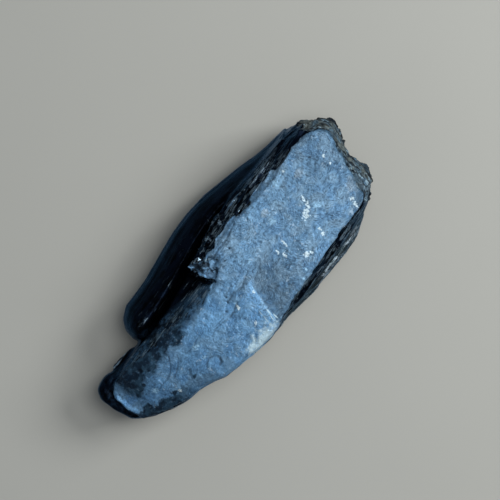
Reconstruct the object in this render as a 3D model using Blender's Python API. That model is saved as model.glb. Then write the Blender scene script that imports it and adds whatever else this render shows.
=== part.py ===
"""Rough kyanite: one bladed lump of dark blue crystal, lying on a flat cleavage face.

The stone is a bundle of blades grown together, so it is one solid. +X runs along the blades towards the
broken upper end, +Y towards the dark stepped side, and +Z up out of the broad silvery cleavage face. The
origin is under the middle of the stone's bounding box, on the surface that it rests on. Lengths are in
millimetres until the last step, which scales the finished mesh to metres.
"""

import random
from typing import NamedTuple

import bmesh
import bpy
from mathutils import Matrix, Vector
from mathutils.bvhtree import BVHTree

MM = 0.001
BLUE = (0.06, 0.115, 0.18, 1.0)
BLUE_ROUGHNESS = 0.38


class Level(NamedTuple):
    """A height of a blade's side, and how far the outline is moved out there on each of its sides."""

    height: float
    left: float = 0.0
    right: float = 0.0
    tip: float = 0.0
    end: float = 0.0


class LathBand(NamedTuple):
    """A band of one side that thin laths grow along, with the ranges that their sizes are drawn from."""

    side: int
    count: int
    along: tuple
    height: tuple
    thickness: tuple
    length: tuple
    proud: tuple
    slant: float
    seed: int


# Driving heights above the surface that the stone rests on
FACE_HEIGHT = 9.5
WAIST_HEIGHT = 6.7
SIDE_BLADE_TOP = 6.6
SIDE_BLADE_WIDEST = 3.6
RIGHT_LEDGE_TOP = 5.6
RIGHT_LEDGE_WIDEST = 4.7
FOOT_TOP = 4.7
FOOT_WIDEST = 3.3

# The extra layer on the lower part of the face: its thickness, and its fall for each millimetre to the tip
RISEN_LAYER = 0.24
RISEN_EDGE = Level(FACE_HEIGHT + RISEN_LAYER, left=-0.15, right=-0.2, end=-0.18)
RISEN_FOOT = Level(FACE_HEIGHT - 0.02)
RISEN_ROOT = Level(FACE_HEIGHT - 1.8, left=0.2, right=0.1)
RISEN_FALL = 0.075

# How the face bends down towards the tip: where each bend is, and its fall for each millimetre beyond
FACE_BENDS = [(-1.8, 0.03), (-6.0, 0.08), (-9.5, 0.15), (-12.6, 0.26), (-15.0, 0.42), (-16.6, 0.68)]
BEND_LEAN = 0.12
TRIM_MERGE = 1e-5

# Worn rounding along the rim of the broad face: its width, and its depth as a share of the width
RIM_WEAR = 0.28
RIM_WEAR_DEPTH = 0.6 * RIM_WEAR

# Swell of the sides between the rim of the face and the waist: share of the way out, and height
UPPER_SWELL = (0.55, 8.1)
LOWER_SWELL = (0.55, 8.4)

# Sides of the blades, from the top down
UPPER_RIM_LEVEL = Level(FACE_HEIGHT, left=-RIM_WEAR, right=-RIM_WEAR, end=-RIM_WEAR)
UPPER_LEVELS = [Level(WAIST_HEIGHT), Level(3.0, 0.6, -0.1, 0.0, -0.4), Level(1.5, -0.6, -1.2, 0.0, -1.6)]
LOWER_RIM_LEVEL = Level(FACE_HEIGHT, left=-0.2, right=-RIM_WEAR, tip=-RIM_WEAR)
LOWER_LEVELS = [Level(WAIST_HEIGHT), Level(3.2, 0.4, -0.3, 0.1), Level(1.4, -0.8, -1.4, -1.6)]
SIDE_BLADE_LEVELS = [
    Level(SIDE_BLADE_TOP, left=-2.5, tip=-1.3, end=-1.0),
    Level(5.9, left=-1.5, tip=-0.6, end=-0.6),
    Level(4.8, left=-0.55, tip=-0.2, end=-0.3),
    Level(SIDE_BLADE_WIDEST),
    Level(2.4, left=-0.35, tip=-0.25, end=-0.2),
    Level(1.4, left=-1.5, tip=-1.1, end=-0.8),
]
RIGHT_LEDGE_LEVELS = [
    Level(RIGHT_LEDGE_TOP, right=-0.4, end=-0.3),
    Level(RIGHT_LEDGE_WIDEST),
    Level(3.7, right=-0.25, end=-0.2),
    Level(2.0, right=-2.3, end=-1.5),
]
FOOT_LEVELS = [
    Level(FOOT_TOP, left=-0.5, right=-0.5, tip=-0.6),
    Level(4.1, left=-0.12, right=-0.15, tip=-0.15),
    Level(FOOT_WIDEST),
    Level(1.3, left=-1.0, right=-0.8, tip=-1.7),
]
FLAKE_LEVELS = [Level(3.85), Level(3.3)]
BASE_LEVELS = [Level(3.0), Level(0.0, left=-0.5, right=-0.6, tip=-0.5, end=-0.7)]
BASE_SIDE_LEVELS = [Level(3.2), Level(0.45, left=-0.9, tip=-0.6, end=-0.8)]
BASE_LONG_LEVELS = [Level(3.1), Level(0.85, left=-0.7, right=-0.9, tip=-1.2, end=-1.2)]

# Outlines seen from above, x along the blades and y towards the dark stepped side. Each one starts near the
# upper end's dark corner and runs along the stepped side, round the tip and back up the right side.
FACE_RIM = [
    (16.3, 2.1), (13.7, 2.7), (9.9, 2.4), (6.2, 2.9), (2.5, 3.3), (-1.1, 3.2), (-3.2, 3.7),
    (-2.8, 1.9), (-2.3, 0.8), (-2.3, -4.8), (-1.6, -6.4), (1.4, -6.8), (5.9, -7.0), (9.8, -6.9),
    (12.1, -7.2), (13.4, -7.1), (14.4, -6.5), (15.2, -4.7), (15.8, -3.4), (16.3, -2.1), (17.1, -0.9),
    (17.4, 0.3), (17.1, 1.5),
]
UPPER_WAIST = [
    (16.2, 3.4), (13.8, 4.0), (10.0, 4.4), (6.3, 4.9), (2.6, 5.1), (-1.1, 4.8), (-2.6, 4.5),
    (-2.0, 2.4), (-1.8, 1.0), (-1.8, -4.4), (-1.2, -6.6), (1.4, -7.2), (5.9, -7.6), (9.9, -7.6),
    (12.3, -7.7), (14.2, -7.3), (15.8, -6.5), (16.3, -5.0), (16.4, -3.6), (16.8, -2.2), (17.6, -0.8),
    (18.2, 0.6), (17.7, 2.2),
]
LOWER_FACE_RIM = [
    (1.0, 0.9), (-2.4, 0.8), (-4.5, 0.7), (-8.5, 0.4), (-12.6, 1.2), (-15.3, 2.2), (-17.0, 2.3),
    (-17.8, 1.6), (-18.1, 0.7), (-17.9, -0.4), (-16.9, -1.4), (-15.3, -2.5), (-13.8, -3.4),
    (-12.0, -4.1), (-10.1, -5.4), (-7.6, -6.2), (-5.3, -6.8), (-3.0, -7.1), (0.0, -6.9), (3.0, -6.5),
    (4.2, -4.6), (4.2, -1.0),
]
SHOULDER_RIM = [
    (1.0, 3.0), (-2.4, 2.9), (-4.5, 3.0), (-8.5, 3.5), (-12.6, 3.7), (-15.3, 3.8), (-17.6, 3.4),
    (-18.7, 2.3), (-19.0, 0.9), (-18.8, -0.6), (-17.5, -1.7), (-15.8, -2.8), (-14.1, -3.7),
    (-12.2, -4.4), (-10.2, -5.7), (-7.7, -6.4), (-5.4, -7.0), (-3.0, -7.3), (0.0, -7.2), (3.0, -6.8),
    (4.2, -4.6), (4.2, -1.0),
]
SIDE_BLADE = [
    (15.2, 4.4), (12.7, 4.9), (10.9, 5.4), (8.9, 6.1), (6.8, 6.7), (4.4, 7.4), (1.8, 7.8), (-0.8, 7.9),
    (-3.3, 7.7), (-6.1, 7.4), (-8.7, 7.4), (-10.2, 7.5), (-11.6, 6.9), (-12.4, 6.0), (-12.7, 4.7),
    (-12.2, 3.0), (-10.0, 1.0), (14.0, 1.0),
]
RIGHT_LEDGE = [
    (12.0, -3.0), (-3.4, -3.6), (-3.7, -5.4), (-3.0, -6.9), (-1.8, -7.4), (0.6, -7.8), (2.5, -8.2),
    (5.2, -8.5), (7.8, -8.7), (10.1, -8.6), (12.4, -7.9), (13.8, -7.0), (13.9, -5.2),
]
TIP_FOOT = [
    (-7.0, 3.6), (-12.7, 3.9), (-15.5, 4.3), (-17.3, 4.7), (-19.1, 4.5), (-19.9, 3.3), (-20.0, 2.0),
    (-19.7, 0.5), (-18.9, -0.6), (-17.4, -1.5), (-14.8, -2.6), (-7.0, -4.0),
]
THIN_FLAKE = [(-12.8, 3.4), (-13.5, 4.4), (-15.2, 4.75), (-16.4, 4.9), (-16.9, 3.8)]
RISEN_PLATE = [
    (-0.3, -1.7), (-2.0, -1.4), (-4.5, -1.6), (-6.8, -1.5), (-7.4, -3.2), (-6.9, -5.2), (-5.3, -6.4),
    (-3.0, -6.7), (-1.9, -6.6), (-1.5, -5.3), (-1.1, -4.0), (-0.7, -2.9),
]
BASE_PLATE = [
    (13.2, 2.1), (9.0, 2.3), (8.7, 3.0), (1.5, 3.1), (1.1, 2.7), (-5.0, 2.8), (-10.6, 2.5), (-12.0, 1.6),
    (-12.9, 0.4), (-11.8, -1.2), (-12.3, -2.0), (-8.6, -3.0), (-8.1, -4.1), (-1.2, -4.4), (-0.8, -5.1),
    (7.0, -5.1), (7.4, -4.6), (11.6, -4.4), (13.1, -3.0), (12.5, -1.2), (14.2, 0.3),
]
BASE_SIDE_PLATE = [
    (11.5, 4.0), (6.2, 4.9), (5.8, 5.7), (-3.8, 5.8), (-4.2, 5.2), (-9.0, 5.0), (-10.2, 4.1), (-9.6, 3.0),
    (-10.6, 1.6), (-4.0, 1.0), (10.0, 1.0), (12.8, 2.6),
]
BASE_LONG_PLATE = [
    (16.2, 2.8), (12.2, 3.4), (11.8, 4.2), (3.0, 4.6), (-6.0, 4.6), (-6.5, 4.2), (-15.0, 4.0), (-17.6, 3.4),
    (-18.6, 1.6), (-17.4, 0.6), (-16.8, -0.8), (-13.4, -2.2), (-12.9, -3.1), (-9.0, -4.6), (-8.4, -5.4),
    (-3.6, -6.2), (3.0, -6.8), (3.4, -7.2), (9.5, -7.0), (12.6, -6.4), (15.2, -4.8), (15.0, -3.2),
    (16.6, -1.2),
]

# Where the broken upper end stands, from its dark corner to its right one: y, x at the face, and x at its
# furthest reach below
BROKEN_END = [
    (3.1, 15.9, 16.7), (2.2, 16.5, 18.0), (0.7, 17.2, 18.8), (-0.9, 16.8, 18.2), (-2.2, 16.1, 17.4),
    (-3.5, 15.6, 17.0), (-4.9, 15.0, 17.2), (-6.3, 14.3, 16.7),
]
END_FURTHEST_HEIGHT = 5.8
END_UNDERCUT = 2.2
END_UNDERCUT_CURVE = 1.6
END_ROOT_X = 12.5
END_ROOT_INSET = (0.3, 0.8)

# The plates of the broken end, from the top down, and how unevenly they snapped
END_SEED = 23
END_PLATE_TOPS = [9.15, 8.6, 7.75, 7.2, 6.3, 5.7, 4.9, 4.1, 3.2, 2.5, 1.7]
END_FIRST_SETBACK = 0.1
END_STEP_CHANCE = 0.45
END_SETBACK = (-0.15, 0.75)
END_JAG = (-0.16, 0.12)
END_SHIFT = 0.2
END_CORNER_WEAR = 0.25
END_PLATE_CHAMFER = (0.1, 0.15)
END_PLATE_OVERLAP = 0.12

# Floor of the crevice between the side blade and the body, from the upper end down to the tip, with its width
CREVICE_FLOOR = [
    ((9.5, 4.5, 7.2), 0.15), ((5.5, 4.7, 5.7), 0.75), ((1.5, 4.4, 5.0), 1.25), ((-3.5, 3.5, 4.6), 1.4),
    ((-8.5, 3.0, 4.4), 1.2), ((-12.0, 3.0, 4.3), 0.8), ((-13.6, 3.4, 4.8), 0.2),
]
CREVICE_OPENING = Vector((0.0, 1.5, 3.2))
CREVICE_ACROSS = Vector((0.0, 1.0, -0.2))

# The gap under the broken ledge at the notch, from its inner end out: y, then x and height of three corners
LEDGE_GAP = [
    (0.7, ((-2.9, 9.3), (-2.75, 8.6), (-2.45, 8.8))),
    (2.6, ((-3.7, 9.0), (-3.1, 6.6), (-1.7, 7.7))),
    (4.5, ((-4.5, 8.6), (-4.0, 5.2), (-1.6, 7.2))),
]

# Fragments along the crumbled lip of the ledge and the broken rim above the crevice: place and size
LIP_SEED = 3
LIP_FRAGMENTS = [
    ((-2.3, 3.7, 8.55), 0.62), ((-2.45, 2.8, 8.9), 0.44), ((-1.5, 3.9, 8.1), 0.60), ((-0.4, 4.0, 7.8), 0.55),
    ((0.7, 3.9, 8.0), 0.62), ((1.6, 4.3, 7.5), 0.52), ((2.5, 4.5, 7.3), 0.66), ((3.7, 4.1, 7.8), 0.46),
    ((-2.2, 4.4, 7.3), 0.55), ((0.2, 4.6, 6.9), 0.50),
]
FRAGMENT_STRETCH = ((1.0, 1.7), (0.6, 0.9), (0.45, 0.7))
FRAGMENT_TURN = (("Z", 0.7), ("Y", 0.35), ("X", 0.35))
FRAGMENT_JITTER = 0.28

# Bands of laths along the dark side and the right side, from thick to thin above and below
LATH_BANDS = [
    LathBand(1, 6, (-1.5, 16.0), (7.0, 8.9), (0.8, 1.3), (8.0, 13.0), (0.2, 0.4), 0.06, 31),
    LathBand(1, 24, (-1.5, 15.8), (7.0, 9.2), (0.25, 0.50), (2.5, 7.5), (0.12, 0.34), 0.05, 4),
    LathBand(1, 12, (-11.0, 14.5), (1.6, 5.0), (0.5, 1.0), (5.0, 12.0), (0.10, 0.24), 0.06, 8),
    LathBand(1, 5, (-17.5, -4.0), (4.8, 7.0), (0.3, 0.5), (3.0, 6.0), (0.05, 0.12), 0.12, 15),
    LathBand(-1, 7, (-3.0, 14.0), (5.8, 8.6), (0.9, 1.6), (8.0, 13.0), (0.2, 0.4), 0.06, 37),
    LathBand(-1, 12, (-1.0, 13.8), (6.0, 9.1), (0.3, 0.6), (3.0, 8.0), (0.10, 0.26), 0.05, 16),
    LathBand(-1, 12, (-4.0, 14.0), (1.8, 6.0), (0.5, 1.1), (5.0, 11.0), (0.12, 0.34), 0.05, 21),
    LathBand(-1, 16, (-17.8, 1.5), (2.2, 7.6), (0.9, 1.8), (6.0, 11.0), (0.15, 0.35), 0.5, 47),
    LathBand(-1, 24, (-17.8, -0.5), (2.0, 8.7), (0.35, 0.7), (3.0, 8.0), (0.12, 0.3), 0.5, 29),
]
# A lath's section: height as a share of its thickness, and depth behind its outer face. It is square above
# and feathered below, and its root goes deep enough to be grown on to the stone.
LATH_ROOT = 1.1
LATH_SECTION = [
    (0.5, -LATH_ROOT), (0.5, -0.06), (0.38, 0.0), (-0.15, -0.04), (-0.5, -0.30), (-0.5, -LATH_ROOT),
]

# How a lath runs out towards its ends: share of its length, share of its thickness, and setback
LATH_STATIONS = [(0.0, 0.2, 0.4), (0.3, 0.85, 0.06), (0.86, 1.0, 0.0), (1.0, 0.55, 0.15)]
LATH_BURIED = 0.8
LATH_CLIMB = 0.02
LATH_PROBES = (0.0, 0.5, 1.0)
LATH_PROBE_ABOVE = 0.7

# A side counts as steep where it faces outwards this much, and it is looked for from this far out
STEEP = 0.3
BEYOND_SIDE = 15.0


def clear_scene():
    """Removes every object of the startup scene."""
    for obj in list(bpy.data.objects):
        bpy.data.objects.remove(obj)


def ring_at(outline, level):
    """The outline as a ring of points at a level, moved out on its sides as the level says."""
    count = len(outline)
    ring = []
    for i, (x, y) in enumerate(outline):
        before = Vector(outline[i - 1])
        after = Vector(outline[(i + 1) % count])
        along = (after - before).normalized()
        facing = Vector((along.y, -along.x))
        sideways = level.left if facing.y > 0 else level.right
        lengthways = level.end if facing.x > 0 else level.tip
        amount = sideways * facing.y**2 + lengthways * facing.x**2
        ring.append(Vector((x + facing.x * amount, y + facing.y * amount, level.height)))
    return ring


def rings_at(outline, levels):
    """One ring for each level."""
    return [ring_at(outline, level) for level in levels]


def swollen(upper, lower, swell):
    """A ring between two outlines. The swell gives its share of the way to the lower one, and its height."""
    share, height = swell
    ring = []
    for (ax, ay), (bx, by) in zip(upper, lower):
        ring.append(Vector((ax + (bx - ax) * share, ay + (by - ay) * share, height)))
    return ring


def tilted(ring, slope, start):
    """The ring with its height falling by slope for each millimetre towards the tip, from start on."""
    return [Vector((p.x, p.y, p.z - slope * (start - p.x))) for p in ring]


def object_from(name, shape):
    """A new object in the scene whose mesh is the bmesh, with its faces pointing out."""
    bmesh.ops.recalc_face_normals(shape, faces=shape.faces)
    mesh = bpy.data.meshes.new(name)
    shape.to_mesh(mesh)
    shape.free()
    obj = bpy.data.objects.new(name, mesh)
    bpy.context.scene.collection.objects.link(obj)
    return obj


def lofted(name, rings, trims=()):
    """A closed solid through rings of points, cut flat by each trim: a point and the way its plane faces."""
    shape = bmesh.new()
    loops = [[shape.verts.new(p) for p in ring] for ring in rings]
    count = len(loops[0])
    for first, second in zip(loops, loops[1:]):
        for i in range(count):
            j = (i + 1) % count
            shape.faces.new((first[i], first[j], second[j], second[i]))
    shape.faces.new(loops[0])
    shape.faces.new(loops[-1][::-1])
    for point, facing in trims:
        geometry = shape.verts[:] + shape.edges[:] + shape.faces[:]
        bmesh.ops.bisect_plane(
            shape, geom=geometry, dist=TRIM_MERGE, plane_co=point, plane_no=facing, clear_outer=True
        )
        rim = [edge for edge in shape.edges if edge.is_boundary]
        bmesh.ops.edgeloop_fill(shape, edges=rim)
    bmesh.ops.recalc_face_normals(shape, faces=shape.faces)
    bmesh.ops.triangulate(shape, faces=shape.faces)
    return object_from(name, shape)


def combined(base, others, operation):
    """The base with the others joined to it or cut from it. The others are removed."""
    for other in others:
        modifier = base.modifiers.new(other.name, "BOOLEAN")
        modifier.operation = operation
        modifier.solver = "EXACT"
        modifier.object = other
    graph = bpy.context.evaluated_depsgraph_get()
    mesh = bpy.data.meshes.new_from_object(base.evaluated_get(graph))
    base.modifiers.clear()
    base.data = mesh
    for other in others:
        bpy.data.objects.remove(other)
    return base


def upper_body():
    """The body's upper two thirds, up to the broken end, with a cliff at the notch."""
    rings = [
        ring_at(FACE_RIM, UPPER_RIM_LEVEL),
        ring_at(FACE_RIM, Level(FACE_HEIGHT - RIM_WEAR_DEPTH)),
        swollen(FACE_RIM, UPPER_WAIST, UPPER_SWELL),
    ]
    return lofted("upper_body", rings + rings_at(UPPER_WAIST, UPPER_LEVELS))


def face_bends():
    """The planes that the lower part of the face follows as it bends down to the tip."""
    trims = []
    height, last_x, last_slope = FACE_HEIGHT, 0.0, 0.0
    for x, slope in FACE_BENDS:
        height -= last_slope * (last_x - x)
        facing = Vector((-slope, BEND_LEAN * slope, 1.0)).normalized()
        trims.append((Vector((x, 0.0, height)), facing))
        last_x, last_slope = x, slope
    return trims


def lower_body():
    """The body's lower third, down to the rounded tip, with a sloping shoulder at the dark side."""
    rings = [
        ring_at(LOWER_FACE_RIM, LOWER_RIM_LEVEL),
        ring_at(LOWER_FACE_RIM, Level(FACE_HEIGHT - RIM_WEAR_DEPTH)),
        swollen(LOWER_FACE_RIM, SHOULDER_RIM, LOWER_SWELL),
    ]
    return lofted("lower_body", rings + rings_at(SHOULDER_RIM, LOWER_LEVELS), face_bends())


def risen_plate():
    """The extra layer on the lower part of the face. Its edge is the step that crosses the face."""
    start = RISEN_PLATE[0][0]
    rings = [
        tilted(ring_at(RISEN_PLATE, RISEN_EDGE), RISEN_FALL, start),
        tilted(ring_at(RISEN_PLATE, RISEN_FOOT), RISEN_FALL, start),
        ring_at(RISEN_PLATE, RISEN_ROOT),
    ]
    return lofted("risen_plate", rings)


def plain_blades():
    """The dark side blade, the right ledge, the layers under the tip and the plates of the underside."""
    parts = [
        ("side_blade", SIDE_BLADE, SIDE_BLADE_LEVELS),
        ("right_ledge", RIGHT_LEDGE, RIGHT_LEDGE_LEVELS),
        ("tip_foot", TIP_FOOT, FOOT_LEVELS),
        ("thin_flake", THIN_FLAKE, FLAKE_LEVELS),
        ("base_long_plate", BASE_LONG_PLATE, BASE_LONG_LEVELS),
        ("base_side_plate", BASE_SIDE_PLATE, BASE_SIDE_LEVELS),
        ("base_plate", BASE_PLATE, BASE_LEVELS),
    ]
    return [lofted(name, rings_at(outline, levels)) for name, outline, levels in parts]


def break_line(height, chance):
    """Where one plate of the broken end snapped off: points from the dark corner to the right one."""
    above = (FACE_HEIGHT - height) / (FACE_HEIGHT - END_FURTHEST_HEIGHT)
    below = max(0.0, (END_FURTHEST_HEIGHT - height) / END_FURTHEST_HEIGHT)
    reach = min(1.0, above)
    back = END_UNDERCUT * below**END_UNDERCUT_CURVE
    setback = END_FIRST_SETBACK
    line = []
    for y, x_at_face, x_furthest in BROKEN_END:
        if chance.random() < END_STEP_CHANCE:
            setback = chance.uniform(*END_SETBACK)
        x = x_at_face + (x_furthest - x_at_face) * reach - back - setback + chance.uniform(*END_JAG)
        line.append((x, y + chance.uniform(-END_SHIFT, END_SHIFT)))
    line[0] = (line[0][0] - END_CORNER_WEAR, BROKEN_END[0][0])
    line[-1] = (line[-1][0] - END_CORNER_WEAR, BROKEN_END[-1][0])
    return line


def end_plates():
    """The broken upper end: thin plates of cleavage, one under the other, that each snapped off elsewhere."""
    chance = random.Random(END_SEED)
    inset, drop = END_PLATE_CHAMFER
    dark_side, right_side = END_ROOT_INSET
    plates = []
    for i, (top, bottom) in enumerate(zip(END_PLATE_TOPS, END_PLATE_TOPS[1:])):
        line = break_line((top + bottom) / 2, chance)
        root = [(END_ROOT_X, line[0][1] - dark_side), (END_ROOT_X, line[-1][1] + right_side)]
        levels = [Level(top, end=-inset), Level(top - drop), Level(bottom - END_PLATE_OVERLAP, end=-inset)]
        plates.append(lofted(f"end_plate_{i}", rings_at(root + line[::-1], levels)))
    return plates


def surface_of(obj):
    """A search tree over the object's surface."""
    return BVHTree.FromObject(obj, bpy.context.evaluated_depsgraph_get())


def side_at(surface, side, x, height):
    """How far out the stone's side stands at a place, or None where that side isn't steep there."""
    start = Vector((x, side * BEYOND_SIDE, height))
    hit, facing, _, _ = surface.ray_cast(start, Vector((0.0, -side, 0.0)))
    if hit is None or side * facing.y < STEEP or side * hit.y < 0.0:
        return None
    return side * hit.y


def lath(name, side, start, finish, thickness):
    """A thin blade grown on to a side, from its feathered start to its broken finish."""
    up = Vector((0.0, 0.0, thickness))
    out = Vector((0.0, side, 0.0))
    rings = []
    for share, size, setback in LATH_STATIONS:
        centre = start.lerp(finish, share)
        rings.append([centre + up * (rise * size) + out * (depth - setback) for rise, depth in LATH_SECTION])
    return lofted(name, rings)


def laths_along(surface, band, label):
    """The laths of one band, each nearly parallel to the blades and standing a little proud of the side."""
    chance = random.Random(band.seed)
    found = []
    for i in range(band.count):
        length = chance.uniform(*band.length)
        x = chance.uniform(band.along[0], band.along[1] - length)
        height = chance.uniform(*band.height)
        thickness = chance.uniform(*band.thickness)
        proud = chance.uniform(*band.proud)
        climb = chance.uniform(-LATH_CLIMB, LATH_CLIMB) * length
        places = [(x + length * share, height + climb * share) for share in LATH_PROBES]
        higher = LATH_PROBE_ABOVE * thickness
        reach = [side_at(surface, band.side, place, level) for place, level in places]
        above = [side_at(surface, band.side, place, level + higher) for place, level in places]
        if None in reach or None in above:
            continue
        slant = max(-band.slant, min(band.slant, (reach[2] - reach[0]) / length)) * length
        gaps = [r - slant * share for r, share in zip(reach, LATH_PROBES)]
        shift = proud + min(gaps)
        if max(gaps) - shift > LATH_BURIED:
            continue
        start = Vector((places[0][0], band.side * shift, places[0][1]))
        finish = Vector((places[2][0], band.side * (shift + slant), places[2][1]))
        found.append(lath(f"lath_{label}_{i}", band.side, start, finish, thickness))
    return found


def fragment(name, centre, size, chance):
    """A small cleavage fragment: a flat-faced slab, longest along the blades and turned a little."""
    shape = bmesh.new()
    bmesh.ops.create_cube(shape, size=2.0 * size)
    place = Matrix.Translation(centre)
    for axis, most in FRAGMENT_TURN:
        place @= Matrix.Rotation(chance.uniform(-most, most), 4, axis)
    place @= Matrix.Diagonal([chance.uniform(*limits) for limits in FRAGMENT_STRETCH] + [1.0])
    bmesh.ops.transform(shape, matrix=place, verts=shape.verts)
    for vert in shape.verts:
        vert.co += size * Vector([chance.uniform(-FRAGMENT_JITTER, FRAGMENT_JITTER) for _ in range(3)])
    bmesh.ops.triangulate(shape, faces=shape.faces)
    return object_from(name, shape)


def lip_fragments():
    """Fragments along the crumbled lip and the broken rim above the crevice."""
    chance = random.Random(LIP_SEED)
    found = []
    for i, (place, size) in enumerate(LIP_FRAGMENTS):
        found.append(fragment(f"lip_fragment_{i}", Vector(place), size, chance))
    return found


def crevice_cutter():
    """The cutter for the crevice between the side blade and the body."""
    rings = []
    for point, width in CREVICE_FLOOR:
        floor = Vector(point)
        mouth = floor + CREVICE_OPENING
        half = CREVICE_ACROSS * width / 2
        rings.append([floor, mouth - half, mouth + half])
    return lofted("crevice", rings)


def ledge_gap_cutter():
    """The cutter for the dark gap under the broken ledge."""
    return lofted("ledge_gap", [[Vector((x, y, z)) for x, z in corners] for y, corners in LEDGE_GAP])


def settle(stone):
    """Puts the origin under the middle of the mesh's box, and turns millimetres into metres."""
    corners = [vert.co for vert in stone.data.vertices]
    low = Vector([min(c[k] for c in corners) for k in range(3)])
    high = Vector([max(c[k] for c in corners) for k in range(3)])
    middle = (low + high) / 2
    middle.z = low.z
    stone.data.transform(Matrix.Scale(MM, 4) @ Matrix.Translation(-middle))


def dress(stone):
    """Gives the stone its dark blue."""
    material = bpy.data.materials.new("kyanite_blue")
    material.use_nodes = True
    shader = material.node_tree.nodes["Principled BSDF"]
    shader.inputs["Base Color"].default_value = BLUE
    shader.inputs["Roughness"].default_value = BLUE_ROUGHNESS
    shader.inputs["Metallic"].default_value = 0.0
    stone.data.materials.clear()
    stone.data.materials.append(material)


def main():
    """Builds the stone."""
    clear_scene()
    blades = [lower_body(), risen_plate()] + plain_blades() + end_plates() + lip_fragments()
    stone = combined(upper_body(), blades, "UNION")
    surface = surface_of(stone)
    laths = []
    for label, band in enumerate(LATH_BANDS):
        laths += laths_along(surface, band, label)
    stone = combined(stone, laths, "UNION")
    stone = combined(stone, [crevice_cutter(), ledge_gap_cutter()], "DIFFERENCE")
    stone.name = "kyanite"
    settle(stone)
    dress(stone)


main()
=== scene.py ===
"""Rough kyanite, dressed: the fine surface of the stone, its finish, and a plain studio around it.

Lengths are in millimetres in the stone's own frame, with x along the blades towards the broken upper end, y
towards the dark stepped side, and z up out of the broad cleavage face. The mesh is scaled to metres last.
"""

import logging
import math
import time
from dataclasses import dataclass, field
from enum import Enum
from itertools import product

import bmesh
import bpy
import numpy as np
from mathutils import Matrix, Vector
from mathutils.bvhtree import BVHTree


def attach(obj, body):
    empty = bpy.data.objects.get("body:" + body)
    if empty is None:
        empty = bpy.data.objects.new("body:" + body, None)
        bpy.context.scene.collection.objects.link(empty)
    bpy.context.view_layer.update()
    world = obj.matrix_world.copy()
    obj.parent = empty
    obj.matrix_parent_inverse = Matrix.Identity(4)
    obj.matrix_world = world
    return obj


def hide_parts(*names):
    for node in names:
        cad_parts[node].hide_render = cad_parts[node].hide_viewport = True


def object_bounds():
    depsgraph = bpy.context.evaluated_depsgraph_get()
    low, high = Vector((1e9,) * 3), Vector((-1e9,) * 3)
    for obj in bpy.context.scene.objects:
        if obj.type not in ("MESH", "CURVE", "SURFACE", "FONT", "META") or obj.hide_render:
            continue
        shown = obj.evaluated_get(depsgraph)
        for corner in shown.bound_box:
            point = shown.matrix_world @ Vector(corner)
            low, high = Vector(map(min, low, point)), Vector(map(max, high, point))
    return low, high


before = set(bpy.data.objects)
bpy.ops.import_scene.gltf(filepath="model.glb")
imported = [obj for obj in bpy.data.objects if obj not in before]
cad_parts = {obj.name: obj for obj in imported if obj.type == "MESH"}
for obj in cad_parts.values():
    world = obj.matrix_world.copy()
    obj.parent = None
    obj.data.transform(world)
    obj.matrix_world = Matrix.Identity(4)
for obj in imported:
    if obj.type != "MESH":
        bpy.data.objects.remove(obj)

CAD_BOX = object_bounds()
NODE = "kyanite"
MM = 0.001
LOG = logging.getLogger("kyanite")

Colour = tuple[float, float, float]
Span = tuple[float, float]
Place = tuple[float, float, float]


class Skin(Enum):
    """The kinds of surface on the stone. Each value is the name under which the mesh carries its share."""

    SILVER = "silver"
    SNAPPED = "snapped"
    CRACKED = "cracked"
    WORN = "worn"
    # painted shade: how concave each place is, used to darken the concave places
    HOLLOW_SHADE = "hollow_shade"
    SLOPE = "slope"
    UNDER = "under"


class Lamp(Enum):
    """The lamps of the studio."""

    WINDOW = "window"
    OVERHEAD = "overhead"
    FILL = "fill"


def ease(low: float | np.ndarray, high: float | np.ndarray, value: np.ndarray) -> np.ndarray:
    """A smooth rise from 0 at low to 1 at high.

    Args:
        low: Where the rise starts.
        high: Where it ends.
        value: The values to place on it.

    Returns:
        One number from 0 to 1 for each value.
    """
    share = np.clip((value - low) / (high - low), 0.0, 1.0)
    return share * share * (3.0 - 2.0 * share)


def chance_at(cells: np.ndarray, seed: int) -> np.ndarray:
    """A steady random number for each cell.

    Args:
        cells: Whole numbers, one row for each cell.
        seed: Which set of random numbers to use.

    Returns:
        One number from 0 to 1 for each row.
    """
    low_bits = np.uint64(0xFFFFFFFF)
    mixed = np.full(len(cells), (seed * 2654435761 + 97) % 2**32, dtype=np.uint64)
    for axis in range(cells.shape[1]):
        column = cells[:, axis].astype(np.int64).astype(np.uint64) & low_bits
        mixed = ((mixed ^ column) * np.uint64(0x9E3779B1)) & low_bits
        mixed ^= mixed >> np.uint64(15)
        mixed = (mixed * np.uint64(0x85EBCA6B)) & low_bits
        mixed ^= mixed >> np.uint64(13)
    return mixed.astype(float) / 2**32


def soft_noise(points: np.ndarray, seed: int) -> np.ndarray:
    """Smooth noise with a wavelength of about two.

    Args:
        points: Places, one row each, in any number of dimensions.
        seed: Which noise to use.

    Returns:
        One number from -1 to 1 for each place.
    """
    base = np.floor(points).astype(np.int64)
    part = points - base
    part = part * part * (3.0 - 2.0 * part)
    total = np.zeros(len(points))
    for corner in product((0, 1), repeat=points.shape[1]):
        step = np.array(corner)
        weight = np.prod(np.where(step == 1, part, 1.0 - part), axis=1)
        total += weight * chance_at(base + step, seed)
    return 2.0 * total - 1.0


def rough_noise(points: np.ndarray, seed: int, layers: int = 3) -> np.ndarray:
    """Noise with finer noise on it, each layer half as large and half as high as the one before.

    Args:
        points: Places, one row each.
        seed: Which noise to use.
        layers: How many layers are added up.

    Returns:
        One number from about -1 to 1 for each place.
    """
    total = np.zeros(len(points))
    for layer in range(layers):
        total += soft_noise(points * 2.0**layer, seed + layer) / 2.0**layer
    return total / (2.0 - 0.5 ** (layers - 1))


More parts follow.
